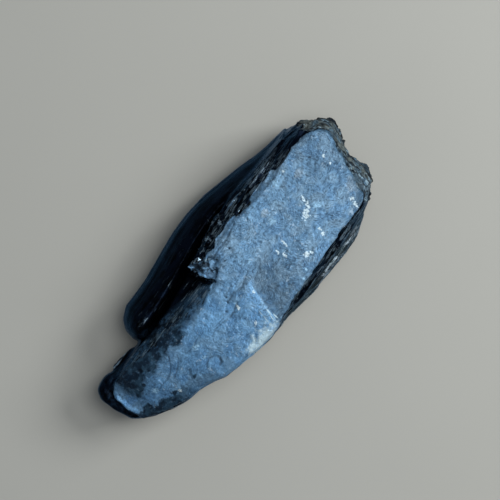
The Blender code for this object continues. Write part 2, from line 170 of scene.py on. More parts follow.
def plate_levels(along: np.ndarray, across: np.ndarray, length: float, width: float, seed: int) -> np.ndarray:
    """The level of long thin plates that lie side by side and end at uneven places.

    Args:
        along: Distance along the plates.
        across: Distance across them.
        length: How long a plate is.
        width: How wide a plate is.
        seed: Which set of plates to use.

    Returns:
        One level from 0 to 1 for each place.
    """
    row = np.floor(across / width).astype(np.int64)
    shift = chance_at(row[:, None], seed)
    column = np.floor(along / length + 7.0 * shift).astype(np.int64)
    return chance_at(np.stack((row, column), axis=1), seed + 1)


def scale_levels(points: np.ndarray, size: float, seed: int) -> tuple[np.ndarray, np.ndarray]:
    """The level of small flat scales that cover a face.

    Args:
        points: Places on the face, one row of two numbers each.
        size: How wide a scale is.
        seed: Which set of scales to use.

    Returns:
        The level of the scale at each place, from 0 to 1, and how far inside the scale the place is.
    """
    spread = points / size
    home = np.floor(spread).astype(np.int64)
    nearest = np.full(len(points), np.inf)
    second = np.full(len(points), np.inf)
    level = np.zeros(len(points))
    for offset in product((-1, 0, 1), repeat=2):
        cell = home + np.array(offset)
        centre = cell + np.stack((chance_at(cell, seed), chance_at(cell, seed + 1)), axis=1)
        gap = np.linalg.norm(spread - centre, axis=1)
        closer = gap < nearest
        second = np.where(closer, nearest, np.minimum(second, gap))
        level = np.where(closer, chance_at(cell, seed + 2), level)
        nearest = np.where(closer, gap, nearest)
    return level, (second - nearest) * size


def block_levels(points: np.ndarray, size: float, seed: int) -> np.ndarray:
    """The level of small crystal blocks that fill a broken surface, one level from 0 to 1 for each place."""
    return chance_at(np.floor(points / size).astype(np.int64), seed)


def distance_to_line(points: np.ndarray, line: tuple[Span, ...]) -> np.ndarray:
    """How far each place is from a line seen from above.

    Args:
        points: Places, one row of x and y each.
        line: The line's points.

    Returns:
        One distance for each place.
    """
    nearest = np.full(len(points), np.inf)
    for start, finish in zip(line, line[1:]):
        first, along = np.array(start), np.array(finish) - np.array(start)
        share = np.clip((points - first) @ along / (along @ along), 0.0, 1.0)
        nearest = np.minimum(nearest, np.linalg.norm(points - first - share[:, None] * along, axis=1))
    return nearest


@dataclass(frozen=True)
class Region:
    """A stretch of the stone's surface: a box in millimetres, and the way that the surface faces in it."""

    low: Place
    high: Place
    facing: Place
    least: float = 0.3

    def holds(self, points: np.ndarray, normals: np.ndarray) -> np.ndarray:
        """Whether each place lies in the region."""
        inside = np.all((points >= self.low) & (points <= self.high), axis=1)
        return inside & (normals @ np.array(self.facing) >= self.least)


@dataclass(frozen=True)
class Bits:
    """Small flat bits of crystal grown on to one region, each a slab a little out of line with the blades."""

    region: Region
    count: int
    length: Span
    depth: Span
    thickness: Span
    turn: float
    tilt: float
    sunk: float
    seed: int
    jitter: float = 0.15
    proud: float = 0.22

    def stays_close(self, place: Matrix, surface: BVHTree) -> bool:
        """Whether no corner of a bit stands out from the stone by more than the bits may."""
        for corner in product((-0.5, 0.5), repeat=3):
            point = place @ Vector(corner)
            nearest, normal, _, _ = surface.find_nearest(point)
            if (point - nearest).dot(normal) > self.proud:
                return False
        return True

    def grow_on(self, stone: bmesh.types.BMesh, surface: BVHTree, points: np.ndarray, normals: np.ndarray,
                areas: np.ndarray) -> None:
        """Adds the bits to the stone.

        Args:
            stone: The shape that they are added to.
            surface: The bare stone's surface.
            points: Corners of the stone's triangles, three rows of three numbers for each.
            normals: The way that each triangle faces.
            areas: The area of each triangle.
        """
        chance = np.random.default_rng(self.seed)
        inside = self.region.holds(points.mean(axis=1), normals)
        weights = np.where(inside, areas, 0.0)
        picked = chance.choice(len(points), size=self.count, p=weights / weights.sum())
        for index in picked:
            share = np.sort(chance.random(2))
            mixed = np.array((share[0], share[1] - share[0], 1.0 - share[1]))
            outward = Vector(normals[index])
            size = Vector((chance.uniform(*self.length), chance.uniform(*self.depth), chance.uniform(*self.thickness)))
            centre = Vector(mixed @ points[index]) - outward * self.sunk * size.y
            place = Matrix.Translation(centre)
            place @= Matrix.Rotation(chance.uniform(-self.turn, self.turn), 4, "Z")
            place @= Matrix.Rotation(chance.uniform(-self.tilt, self.tilt), 4, "Y")
            place @= Matrix.Rotation(chance.uniform(-self.tilt, self.tilt), 4, "X")
            place @= Matrix.Diagonal(size.to_4d())
            if not self.stays_close(place, surface):
                continue
            made = bmesh.ops.create_cube(stone, size=1.0, matrix=place)
            for vert in made["verts"]:
                shake = chance.uniform(-self.jitter, self.jitter, 3)
                vert.co += Vector(shake * np.array(size))


@dataclass(frozen=True)
class Crack:
    """A dark cleavage crack in the face: a line seen from above, with its width and depth."""

    line: tuple[Span, ...]
    width: float = 0.085
    depth: float = 0.045

    def share(self, points: np.ndarray) -> np.ndarray:
        """How deep in the crack each place is, from 0 to 1."""
        wobble = 0.10 * soft_noise(points[:, :2] * 1.1, 61)
        near = distance_to_line(points[:, :2] + wobble[:, None], self.line)
        broken = 0.75 + 0.35 * soft_noise(points[:, :2] * 1.3, 62)
        return broken * (1.0 - ease(0.4 * self.width, 1.6 * self.width, near))


@dataclass(frozen=True)
class Pit:
    """A small round pit."""

    x: float
    y: float
    radius: float = 0.12
    depth: float = 0.12

    def share(self, points: np.ndarray) -> np.ndarray:
        """How deep in the pit each place is, from 0 to 1."""
        gap = np.hypot(points[:, 0] - self.x, points[:, 1] - self.y)
        return 1.0 - ease(0.4 * self.radius, 1.4 * self.radius, gap)


class Surface:
    """The vertices of a fine mesh in millimetres, with what is needed to smooth and shift them."""

    def __init__(self, mesh: bpy.types.Mesh) -> None:
        """Reads the mesh."""
        self.mesh = mesh
        count = len(mesh.vertices)
        flat = np.zeros(count * 3)
        mesh.vertices.foreach_get("co", flat)
        self.points = flat.reshape(-1, 3)
        ends = np.zeros(len(mesh.edges) * 2, dtype=np.int64)
        mesh.edges.foreach_get("vertices", ends)
        self.edges = ends.reshape(-1, 2)
        self.valence = np.bincount(self.edges.ravel(), minlength=count).astype(float)

    def mean_of_neighbours(self, values: np.ndarray) -> np.ndarray:
        """The mean of each vertex's neighbours.

        Args:
            values: One row for each vertex.

        Returns:
            One row for each vertex.
        """
        first, second = self.edges[:, 0], self.edges[:, 1]
        count = len(values)
        columns = []
        for column in values.reshape(count, -1).T:
            total = np.bincount(first, weights=column[second], minlength=count)
            total += np.bincount(second, weights=column[first], minlength=count)
            columns.append(total / self.valence)
        return np.stack(columns, axis=1).reshape(values.shape)

    def normals(self) -> np.ndarray:
        """The way that the mesh faces at each vertex."""
        self.store()
        flat = np.zeros(len(self.points) * 3, dtype=np.float32)
        self.mesh.vertex_normals.foreach_get("vector", flat)
        return flat.reshape(-1, 3).astype(float)

    def smoothed(self, values: np.ndarray, rounds: int) -> np.ndarray:
        """The values, spread over their neighbours a number of times."""
        for _ in range(rounds):
            values = 0.5 * values + 0.5 * self.mean_of_neighbours(values)
        return values

    def broad_normals(self, rounds: int) -> np.ndarray:
        """The way that the mesh faces around each vertex, without its small steps."""
        broad = self.smoothed(self.normals(), rounds)
        return broad / np.linalg.norm(broad, axis=1)[:, None]

    def relax(self, weight: np.ndarray, rounds: int) -> None:
        """Smooths the surface.

        Args:
            weight: How much each vertex gives way, from 0 to 1.
            rounds: How many times the surface is smoothed.
        """
        for _ in range(rounds):
            self.points += 0.5 * weight[:, None] * (self.mean_of_neighbours(self.points) - self.points)

    def shift(self, amount: np.ndarray, normals: np.ndarray) -> None:
        """Moves each vertex outwards by an amount."""
        self.points += amount[:, None] * normals

    def store(self) -> None:
        """Writes the vertices back to the mesh."""
        self.mesh.vertices.foreach_set("co", self.points.ravel())
        self.mesh.update()

    def carry(self, skin: Skin, share: np.ndarray) -> None:
        """Writes a share for each vertex to the mesh, under the skin's name."""
        made = self.mesh.attributes.new(skin.value, "FLOAT", "POINT")
        made.data.foreach_set("value", np.clip(share, 0.0, 1.0).astype(np.float32))


class Shade:
    """A socket of a material's nodes, with arithmetic that is written as plain expressions."""

    def __init__(self, nodes: "Nodes", socket: bpy.types.NodeSocket) -> None:
        """Wraps the socket."""
        self.nodes = nodes
        self.socket = socket

    def __add__(self, other: "Shade | float") -> "Shade":
        """The sum of two values."""
        return self.nodes.math("ADD", self, other)

    def __radd__(self, other: float) -> "Shade":
        """The sum of a number and this value."""
        return self.nodes.math("ADD", other, self)

    def __sub__(self, other: "Shade | float") -> "Shade":
        """This value less another."""
        return self.nodes.math("SUBTRACT", self, other)

    def __rsub__(self, other: float) -> "Shade":
        """A number less this value."""
        return self.nodes.math("SUBTRACT", other, self)

    def __mul__(self, other: "Shade | float") -> "Shade":
        """The product of two values."""
        return self.nodes.math("MULTIPLY", self, other)

    def __rmul__(self, other: float) -> "Shade":
        """The product of a number and this value."""
        return self.nodes.math("MULTIPLY", other, self)

    def at_most(self, other: "Shade | float") -> "Shade":
        """The smaller of two values."""
        return self.nodes.math("MINIMUM", self, other)

    def at_least(self, other: "Shade | float") -> "Shade":
        """The larger of two values."""
        return self.nodes.math("MAXIMUM", self, other)

    def ease(self, low: float, high: float) -> "Shade":
        """A smooth rise from 0 where this value is low to 1 where it is high."""
        settings = {"interpolation_type": "SMOOTHSTEP"}
        return self.nodes.add("ShaderNodeMapRange", settings, {"Value": self, "From Min": low, "From Max": high})


class Nodes:
    """The nodes of one material."""

    def __init__(self, name: str) -> None:
        """Starts a material with a bare Principled shader."""
        self.material = bpy.data.materials.new(name)
        self.material.use_nodes = True
        self.tree = self.material.node_tree
        self.shader = self.tree.nodes["Principled BSDF"]

    def add(self, kind: str, settings: dict | None = None, inputs: dict | None = None, output: int | str = 0) -> Shade:
        """Adds a node.

        Args:
            kind: The node's type.
            settings: Its own settings, which are set first.
            inputs: The values or links of its sockets, by name or number.
            output: The name or number of the socket to give back.

        Returns:
            The output socket.
        """
        node = self.tree.nodes.new(kind)
        for name, value in (settings or {}).items():
            setattr(node, name, value)
        for name, value in (inputs or {}).items():
            self.feed(node.inputs[name], value)
        return Shade(self, node.outputs[output])

    def feed(self, socket: bpy.types.NodeSocket, value: "Shade | float | tuple") -> None:
        """Links a value to a socket, or sets a number or colour on it."""
        if isinstance(value, Shade):
            self.tree.links.new(value.socket, socket)
        elif isinstance(value, tuple) and len(value) == 3 and socket.type == "RGBA":
            socket.default_value = (*value, 1.0)
        else:
            socket.default_value = value

    def math(self, operation: str, first: "Shade | float", second: "Shade | float") -> Shade:
        """A Math node on two values."""
        return self.add("ShaderNodeMath", {"operation": operation}, {0: first, 1: second})

    def mixed(self, share: Shade, first: "Shade | Colour", second: "Shade | Colour") -> Shade:
        """A colour between two, by a share from 0 to 1."""
        return self.add("ShaderNodeMix", {"data_type": "RGBA"}, {0: share, 6: first, 7: second}, 2)

    def tinted(self, colour: Shade, other: "Shade | Colour") -> Shade:
        """The product of two colours."""
        settings = {"data_type": "RGBA", "blend_type": "MULTIPLY"}
        return self.add("ShaderNodeMix", settings, {0: 1.0, 6: colour, 7: other}, 2)

    def places(self) -> Shade:
        """The place on the surface, in millimetres."""
        coordinates = self.add("ShaderNodeTexCoord", output="Object")
        return self.stretched(coordinates, (1.0 / MM, 1.0 / MM, 1.0 / MM))

    def stretched(self, places: Shade, by: Place) -> Shade:
        """Places multiplied along each axis."""
        return self.add("ShaderNodeVectorMath", {"operation": "MULTIPLY"}, {0: places, 1: by})

    def pushed(self, places: Shade, by: Shade, amount: float) -> Shade:
        """Places pushed about by a colour of noise."""
        away = self.add("ShaderNodeVectorMath", {"operation": "SUBTRACT"}, {0: by, 1: (0.5, 0.5, 0.5)})
        scaled = self.add("ShaderNodeVectorMath", {"operation": "SCALE"}, {0: away, "Scale": amount})
        return self.add("ShaderNodeVectorMath", {"operation": "ADD"}, {0: places, 1: scaled})

    def noise(self, places: Shade, size: float, detail: float = 2.0, output: str = "Fac") -> Shade:
        """Soft noise whose blotches are about as wide as the size."""
        inputs = {"Vector": places, "Scale": 1.0 / size, "Detail": detail}
        return self.add("ShaderNodeTexNoise", inputs=inputs, output=output)

    def cells(self, places: Shade, size: float, feature: str = "F1", output: str = "Distance") -> Shade:
        """Cells about as wide as the size: the distance in them, or a random colour for each."""
        inputs = {"Vector": places, "Scale": 1.0 / size}
        return self.add("ShaderNodeTexVoronoi", {"feature": feature}, inputs, output)

    def ridge(self, value: Shade, width: float) -> Shade:
        """Thin curved lines, where soft noise crosses its middle level."""
        return self.math("ABSOLUTE", value - 0.5, 0.0).ease(width, 0.0)

    def nearest_of(self, places: Shade, blots: "tuple[Blot, ...]") -> Shade:
        """How near a place is to the nearest of some patches."""
        total = self.near(places, blots[0])
        for blot in blots[1:]:
            total = total.at_least(self.near(places, blot))
        return total

    def grey(self, value: Shade) -> Shade:
        """A grey colour whose brightness is the value."""
        return self.add("ShaderNodeCombineColor", inputs={"Red": value, "Green": value, "Blue": value})

    def parts(self, places: Shade) -> tuple[Shade, Shade, Shade]:
        """The x, y and z of a place."""
        node = self.add("ShaderNodeSeparateXYZ", inputs={"Vector": places}).socket.node
        return tuple(Shade(self, node.outputs[axis]) for axis in "XYZ")

    def share_of(self, skin: Skin) -> Shade:
        """The share of a kind of surface that the mesh carries."""
        return self.add("ShaderNodeAttribute", {"attribute_name": skin.value}, output="Fac")

    def near(self, places: Shade, blot: "Blot") -> Shade:
        """How near a place is to the middle of a patch: 1 there, falling to 0 at its reach."""
        centre = (blot.x, blot.y, blot.z)
        away = self.add("ShaderNodeVectorMath", {"operation": "SUBTRACT"}, {0: places, 1: centre})
        if blot.turn:
            turned = {"Vector": away, "Angle": -math.radians(blot.turn)}
            away = self.add("ShaderNodeVectorRotate", {"rotation_type": "Z_AXIS"}, turned)
        shrunk = self.stretched(away, (1.0 / blot.along, 1.0 / blot.across, 1.0 / blot.deep))
        length = self.add("ShaderNodeVectorMath", {"operation": "LENGTH"}, {0: shrunk}, "Value")
        return 1.0 - length.ease(0.0, 1.0)

    def fibres(self, places: Shade, flake: float, length: float, width: float) -> tuple[Shade, Shade]:
        """Fine fibres that lie a way of their own in each flake.

        Args:
            places: Places on the surface, in millimetres.
            flake: How wide a flake is.
            length: How long a fibre is.
            width: How wide a fibre is.

        Returns:
            How bright the fibre is, and a random level for each flake, both from 0 to 1.
        """
        bent = self.pushed(places, self.noise(places, 0.8 * flake, 2.0, "Color"), 0.9 * flake)
        centre = self.cells(bent, flake, output="Position")
        chance = Shade(self, centre.socket.node.outputs["Color"])
        spin, level, _ = self.parts(chance)
        away = self.add("ShaderNodeVectorMath", {"operation": "SUBTRACT"}, {0: bent, 1: centre})
        turned = {"Vector": away, "Angle": spin * math.pi}
        away = self.add("ShaderNodeVectorRotate", {"rotation_type": "Z_AXIS"}, turned)
        apart = self.pushed(away, chance, 60.0)
        drawn = self.stretched(apart, (1.0 / length, 1.0 / width, 1.0 / width))
        return self.noise(drawn, 1.0, 2.0), level


@dataclass(frozen=True)
class Blot:
    """A patch of another colour: its centre, its reach along and across, and its turn in degrees from x."""

    x: float
    y: float
    along: float
    across: float
    turn: float = 0.0
    z: float = 9.4
    deep: float = 2.0


@dataclass(frozen=True)
class KyaniteFinish:
    """The finish of the stone: silvery blue on the cleavage face, dark and glossy on the sides, with painted
    highlights, reflections and shade in its colours.
    """

    silver: Colour = (0.140, 0.278, 0.445)
    silver_blue: Colour = (0.107, 0.230, 0.398)
    silver_grey: Colour = (0.162, 0.274, 0.392)
    # painted highlight colour of the small glints on the face
    glint: Colour = (0.500, 0.680, 0.860)
    shade: Colour = (0.026, 0.056, 0.098)
    # dark mottling, also painted shade beside the shoulder and on the tip; on the underside, dark stains
    smudge_and_shade: Colour = (0.004, 0.012, 0.026)
    smudge_and_shade_pale: Colour = (0.028, 0.072, 0.122)
    # the sides' own dark blue and black, laid darker still as painted shade on the sides
    navy: Colour = (0.0040, 0.0085, 0.0200)
    black: Colour = (0.0010, 0.0014, 0.0028)
    # the shoulder's navy with a painted sheen on it; it also tints the painted blue light on the upper side and the
    # crumbled lip
    slope_navy_and_sheen: Colour = (0.0340, 0.0820, 0.1550)
    # painted highlight: pale streaks on the shoulder beside the face
    slope_highlight: Colour = (0.1000, 0.2100, 0.3400)
    # painted highlight colour: glints along the sides, on crystal knobs and on the thin flake by the tip
    painted_rim_glint: Colour = (0.400, 0.580, 0.740)
    # the right-hand side's brown-grey, laid lighter as painted light from the lamp side
    strip_and_light: Colour = (0.044, 0.066, 0.078)
    # painted highlight: pale glints along the outer edge of the right-hand ledge
    strip_rim_glint: Colour = (0.330, 0.420, 0.500)
    rubble: Colour = (0.060, 0.102, 0.138)
    rubble_brown: Colour = (0.092, 0.110, 0.102)
    rubble_dark: Colour = (0.005, 0.008, 0.012)
    rubble_pale: Colour = (0.290, 0.430, 0.530)
    crack: Colour = (0.006, 0.012, 0.022)
    bruise: Colour = (0.640, 0.820, 0.920)
    # painted highlight: the bright blue glitter on the face
    sparkle_highlight: Colour = (0.340, 0.600, 0.840)
    weathered: Colour = (0.500, 0.685, 0.780)
    rust: Colour = (0.270, 0.385, 0.500)
    # painted reflection: the bluish daylight that the face mirrors
    sky_reflection: Colour = (0.175, 0.365, 0.590)
    cooler: Colour = (0.91, 1.05, 1.15)
    sheen: Colour = (0.50, 0.70, 1.00)
    face_roughness: float = 0.40
    side_roughness: float = 0.27
    rubble_roughness: float = 0.60
    face_metal: float = 0.35
    side_metal: float = 0.85
    specular: float = 0.24
    bruises: tuple[Blot, ...] = (
        Blot(15.48, -0.29, 0.36, 0.30, 35.0),
        Blot(15.24, -1.34, 0.26, 0.22, 35.0),
        Blot(11.72, 2.24, 0.34, 0.22, -55.0),
        Blot(10.55, -1.15, 0.70, 0.24, 67.0),
        Blot(10.22, -2.00, 0.85, 0.34, 50.0),
        Blot(9.40, -2.32, 1.00, 0.75, 10.0),
        Blot(13.52, -5.33, 0.46, 0.32, -55.0),
        Blot(13.24, -6.01, 0.75, 0.34, 73.0),
        Blot(5.58, -2.10, 0.95, 0.20, 74.0),
        Blot(4.39, -2.15, 0.50, 0.22, 70.0),
        Blot(4.59, -2.94, 0.60, 0.26, 66.0),
        Blot(5.94, -4.79, 0.56, 0.46, -55.0),
        Blot(6.42, -5.10, 0.34, 0.30, -55.0),
        Blot(8.95, -4.45, 0.50, 0.24, -88.0),
        Blot(8.72, -4.95, 0.42, 0.36),
        Blot(-0.47, -2.51, 0.34, 0.34),
        Blot(-2.76, -2.09, 0.60, 0.26, 62.0),
        Blot(-3.08, -4.55, 0.55, 0.24, 35.0),
        Blot(-13.53, -2.15, 0.38, 0.30, -55.0, 8.2),
    )
    # where the painted glitter highlights lie on the face
    sparkle_highlights: tuple[Blot, ...] = (
        Blot(10.15, 2.16, 1.00, 0.50, 70.0),
        Blot(6.67, 0.21, 0.75, 0.65, -55.0),
        Blot(10.79, -2.73, 1.00, 0.75, -30.0),
        Blot(8.62, 1.04, 0.34, 0.30),
        Blot(1.86, -0.24, 0.45, 0.38),
        Blot(-2.56, -1.60, 0.34, 0.26, 80.0),
        Blot(4.65, -5.64, 0.42, 0.24, 80.0),
        Blot(3.68, -6.05, 0.38, 0.22, 80.0),
        Blot(-8.75, -0.78, 0.80, 0.70),
        Blot(-9.16, -2.17, 0.46, 0.38, -55.0),
        Blot(-15.09, 0.0, 0.75, 0.60, -55.0, 7.8),
    )
    # where the painted daylight reflection lies on the face
    sky_reflections: tuple[Blot, ...] = (
        Blot(10.20, 2.10, 2.0, 1.2),
        Blot(6.60, 2.30, 3.6, 1.8),
        Blot(2.00, 0.80, 3.4, 2.2),
        Blot(-5.5, -0.5, 4.0, 2.4),
        Blot(-10.5, -0.8, 3.4, 2.0),
        Blot(-14.2, -0.2, 2.8, 1.6, 0.0, 8.0),
    )
    rusts: tuple[Blot, ...] = (
        Blot(7.00, 1.35, 0.85, 0.75),
        Blot(12.4, 0.8, 1.2, 0.8),
        Blot(14.9, -4.6, 1.6, 1.6),
        Blot(-11.75, -1.96, 0.40, 0.30, 80.0),
        Blot(-12.88, 1.32, 0.45, 0.40),
    )
    pales: tuple[Blot, ...] = (
        Blot(-4.2, -6.6, 4.5, 2.7, 2.0, 9.1, 3.2),
    )
    fans: tuple[Blot, ...] = (
        Blot(-1.30, -5.00, 0.80, 0.16, 76.0),
        Blot(-1.60, -5.60, 0.90, 0.14, 70.0),
        Blot(-1.25, -5.85, 0.70, 0.14, 80.0),
        Blot(-2.10, -5.20, 0.80, 0.13, 72.0),
        Blot(-1.90, -4.40, 0.70, 0.12, 76.0),
    )
    smudges_and_shade: tuple[Blot, ...] = (
        Blot(-9.2, 1.3, 2.0, 1.3, 0.0, 8.8, 5.0),
        Blot(-15.9, 1.5, 1.6, 1.1, 0.0, 7.0, 5.0),
        Blot(-17.0, -0.4, 1.2, 1.0, 0.0, 6.0, 5.0),
        Blot(-11.3, -2.5, 0.55, 0.45, 0.0, 8.6, 3.0),
        Blot(15.6, 3.3, 3.0, 1.4, 0.0, 9.0, 3.0),
    )
    tip_light: Blot = Blot(-17.6, 0.8, 1.3, 1.1, 0.0, 6.2, 3.0)
    # a thin flake by the tip, with a painted highlight along its edge
    sliver_glint: Blot = Blot(-14.9, 5.04, 2.6, 0.36, -5.0, 3.78, 0.36)
    # crystal knobs under the notch that carry painted glints
    lump_glints: tuple[Blot, ...] = (
        Blot(2.9, 5.3, 0.95, 0.9, 0.0, 6.8, 1.0),
        Blot(1.3, 4.5, 0.80, 0.8, 0.0, 7.8, 1.0),
        Blot(3.4, 4.6, 0.60, 0.5, 0.0, 8.0, 0.9),
    )
    dusk: Blot = Blot(13.8, -6.5, 3.4, 1.5, 10.0, 9.4, 3.0)
    # where painted blue light falls on the upper side
    flank_blue_light: Blot = Blot(6.5, 4.9, 3.4, 1.1, 0.0, 8.6, 2.0)
    worn_corner: Blot = Blot(17.2, 3.1, 1.5, 1.2, 0.0, 5.0, 8.0)

    def material(self) -> bpy.types.Material:
        """Makes the stone's material.

        Returns:
            The material.
        """
        n = Nodes("kyanite_blades")
        mm = n.places()
        ragged = n.noise(n.stretched(mm, (0.40, 1.0, 1.0)), 0.42, 3.0)
        spread = n.share_of(Skin.SILVER)
        silver = (spread + (ragged - 0.5) * 1.1).ease(0.36, 0.60)
        broken = n.share_of(Skin.SNAPPED)
        snapped = (broken + (n.noise(mm, 0.38, 3.0) - 0.5) * 1.2).ease(0.38, 0.62)
        cracked = n.share_of(Skin.CRACKED)
        under = n.share_of(Skin.UNDER)

        grain = n.noise(mm, 0.34, 2.5)
        cloudy = n.noise(mm, 1.4, 4.0)
        fibre, flake = n.fibres(mm, 1.5, 0.75, 0.14)
        face = self.face_colour(n, mm, grain, cloudy, fibre, flake)
        x, _, _ = n.parts(mm)
        brink = (broken + (grain - 0.5) * 0.3).ease(0.0, 0.42) * x.ease(11.0, 14.0)
        face = n.mixed(brink * 0.85, face, self.smudge_and_shade_pale)
        side = self.side_colour(n, mm, grain, cloudy)
        side = n.mixed(under, side, self.under_colour(n, mm, grain, cloudy))
        colour = n.mixed(silver, side, face)
        colour = n.mixed(snapped, colour, self.rubble_colour(n, mm, grain))
        colour = n.mixed(cracked * 0.72, colour, self.crack)
        # painted shade: black laid into concave places
        colour = n.mixed(n.share_of(Skin.HOLLOW_SHADE) * 0.55, colour, self.black)

        metal = self.side_metal + (self.face_metal - self.side_metal) * silver.at_least(under)
        roughness = self.side_roughness + (self.face_roughness - self.side_roughness) * silver
        roughness = roughness + (self.rubble_roughness - self.side_roughness) * snapped * (1.0 - silver)
        roughness = roughness + (grain - 0.5) * (0.25 + 0.15 * silver) + (flake - 0.5) * silver * 0.10
        n.feed(n.shader.inputs["Base Color"], colour)
        n.feed(n.shader.inputs["Roughness"], roughness)
        n.feed(n.shader.inputs["Metallic"], metal * (1.0 - snapped) * (1.0 - cracked))
        n.feed(n.shader.inputs["Specular IOR Level"], self.specular)
        n.feed(n.shader.inputs["Specular Tint"], self.sheen)
        n.feed(n.shader.inputs["Normal"], self.relief(n, mm, silver, grain, fibre, flake))
        return n.material

    def face_colour(self, n: Nodes, mm: Shade, grain: Shade, cloudy: Shade, fibre: Shade, flake: Shade) -> Shade:
        """The colour of the cleavage face, with painted light and shade, painted daylight reflections and painted
        highlights laid in.
        """
        dust = n.noise(mm, 0.20, 1.0)
        tones = n.noise(mm, 0.80, 2.0)
        face = n.mixed(n.noise(mm, 1.1, 3.0).ease(0.40, 0.62) * 0.8, self.silver, self.silver_blue)
        face = n.mixed(cloudy.ease(0.44, 0.60) * 0.75, face, self.silver_grey)
        # painted reflection of daylight, in patches on the face
        face = n.mixed(self.patch(n, mm, self.sky_reflections, 0.7, 1.6) * 0.40, face, self.sky_reflection)
        face = n.mixed(self.patch(n, mm, self.rusts, 0.5, 1.6) * 0.75, face, self.rust)
        x, _, _ = n.parts(mm)
        lower = x.ease(1.0, -3.0)
        face = n.tinted(face, n.mixed(lower, (1.0, 1.0, 1.0), self.cooler))
        texture = 1.5 * (fibre - 0.5) + 0.9 * (grain - 0.5) + 0.8 * (dust - 0.5) + 0.30 * (flake - 0.5)
        texture = texture * (1.0 - 0.30 * lower * x.ease(-13.0, -10.0))
        # painted light and shade over the face, with its texture
        light = self.painted_light_zones(n, mm) * (1.02 + texture + 0.8 * (cloudy - 0.5))
        face = n.tinted(face, n.grey(light.at_least(0.15)))
        face = n.mixed(self.patch(n, mm, self.pales, 0.5, 1.5) * 0.9, face, self.weathered)
        face = n.mixed(self.patch(n, mm, self.fans, 0.3, 0.8) * 0.7, face, self.weathered)
        # dark mottling, with painted shade beside the shoulder and on the tip
        smudge_and_shade = self.dark_mottle_and_shade(n, mm, cloudy) * (1.1 + 1.8 * (grain - 0.5))
        dark = n.mixed(tones.ease(0.42, 0.60) * 0.8, self.smudge_and_shade, self.smudge_and_shade_pale)
        face = n.mixed((smudge_and_shade * 0.95).at_most(0.97), face, dark)
        face = n.mixed(self.strokes(n, mm, fibre) * (0.70 - 0.30 * lower), face, self.shade)
        # painted highlights: glints on the face
        face = n.mixed(self.glints(n, mm, fibre) * (1.0 - smudge_and_shade * 0.7), face, self.glint)
        # painted glitter highlights in patches on the face
        sparked = self.patch(n, mm, self.sparkle_highlights, 0.22, 2.2) * (0.70 + 3.0 * (dust - 0.5))
        face = n.mixed(sparked.at_least(0.0).at_most(0.9), face, self.sparkle_highlight)
        bruised = self.patch(n, mm, self.bruises, 0.20, 2.2) * (0.80 + 3.0 * (dust - 0.5))
        return n.mixed(bruised.at_least(0.0).at_most(0.95), face, self.bruise)

    def side_colour(self, n: Nodes, mm: Shade, grain: Shade, cloudy: Shade) -> Shade:
        """The colour of the dark sides: black and navy streaks, with painted glints near the rim of the face, painted
        blue light on the upper side and a lighter right-hand band with painted glints on its edge.
        """
        _, y, z = n.parts(mm)
        streak = n.noise(n.stretched(mm, (0.12, 1.0, 1.0)), 0.40, 3.0)
        side = n.mixed((cloudy * 0.5 + streak * 0.5).ease(0.42, 0.60), self.black, self.navy)
        side = self.slope_colour(n, mm, grain, cloudy, side)
        # painted blue light in streaks on the upper side
        side = n.mixed(n.near(mm, self.flank_blue_light).ease(0.1, 0.8) * streak.ease(0.44, 0.56), side, self.slope_navy_and_sheen)
        # painted glints on the crystal knobs
        side = n.mixed(self.patch(n, mm, self.lump_glints, 0.22, 2.4) * 0.8, side, self.painted_rim_glint)
        # painted highlight along the thin flake's edge
        shining = (n.near(mm, self.sliver_glint) + 1.2 * (grain - 0.5)).ease(0.25, 0.65) * streak.ease(0.40, 0.54)
        side = n.mixed(shining * 0.85, side, self.painted_rim_glint)
        # the right-hand band: partly its own brown-grey, partly painted light
        right = (y + 2.4 * (cloudy - 0.5)).ease(-4.4, -6.0) * z.ease(2.5, 5.0) * (z + grain).ease(8.8, 7.6)
        side = n.mixed(right * (0.62 + 0.38 * streak.ease(0.40, 0.60)), side, self.strip_and_light)
        # painted glints along the outer edge of the right-hand ledge
        outer = right * z.ease(6.0, 5.5) * z.ease(4.5, 5.1)
        pale = outer * n.noise(n.stretched(mm, (0.22, 1.0, 1.0)), 0.36, 4.0).ease(0.44, 0.60)
        side = n.mixed(pale * grain.ease(0.30, 0.60), side, self.strip_rim_glint)
        return n.mixed(self.glint_lines(n, mm) * (1.0 - 0.85 * right), side, self.painted_rim_glint)

    def glint_lines(self, n: Nodes, mm: Shade) -> Shade:
        """Painted highlights: thin bright lines along the sides, dense under the rim of the face and sparse further
        down.
        """
        x, _, z = n.parts(mm)
        worn = n.share_of(Skin.WORN)
        fine = n.noise(n.stretched(mm, (0.06, 1.0, 1.0)), 0.10, 1.0)
        wide = n.noise(n.stretched(mm, (0.08, 1.0, 1.0)), 0.19, 1.0)
        broken = n.noise(n.stretched(mm, (0.45, 1.0, 1.0)), 0.55, 2.0)
        dense = fine.ease(0.50, 0.60) * broken.ease(0.44, 0.54) * z.ease(7.2, 8.6)
        sparse = wide.ease(0.56, 0.66) * broken.ease(0.50, 0.58) * z.ease(5.6, 7.4)
        return dense.at_least(sparse * 0.7) * (0.55 + 0.45 * worn) * x.ease(15.0, 10.5)

    def slope_colour(self, n: Nodes, mm: Shade, grain: Shade, cloudy: Shade, side: Shade) -> Shade:
        """The colour of the sides with the shoulder on it: navy with a painted sheen, in blue fibres with painted
        highlights by the notch, mottled further down.
        """
        x, y, _ = n.parts(mm)
        fibre = n.noise(n.stretched(mm, (0.14, 1.0, 1.0)), 0.20, 2.0)
        near_face = y.ease(2.4, 1.2) * x.ease(-9.5, -6.5)
        mottled = (cloudy.ease(0.38, 0.60) * grain.ease(0.30, 0.60)).at_least(x.ease(-8.0, -4.5))
        blue = n.mixed(near_face * fibre.ease(0.34, 0.54), self.slope_navy_and_sheen, self.slope_highlight)
        return n.mixed(n.share_of(Skin.SLOPE) * mottled, side, blue)

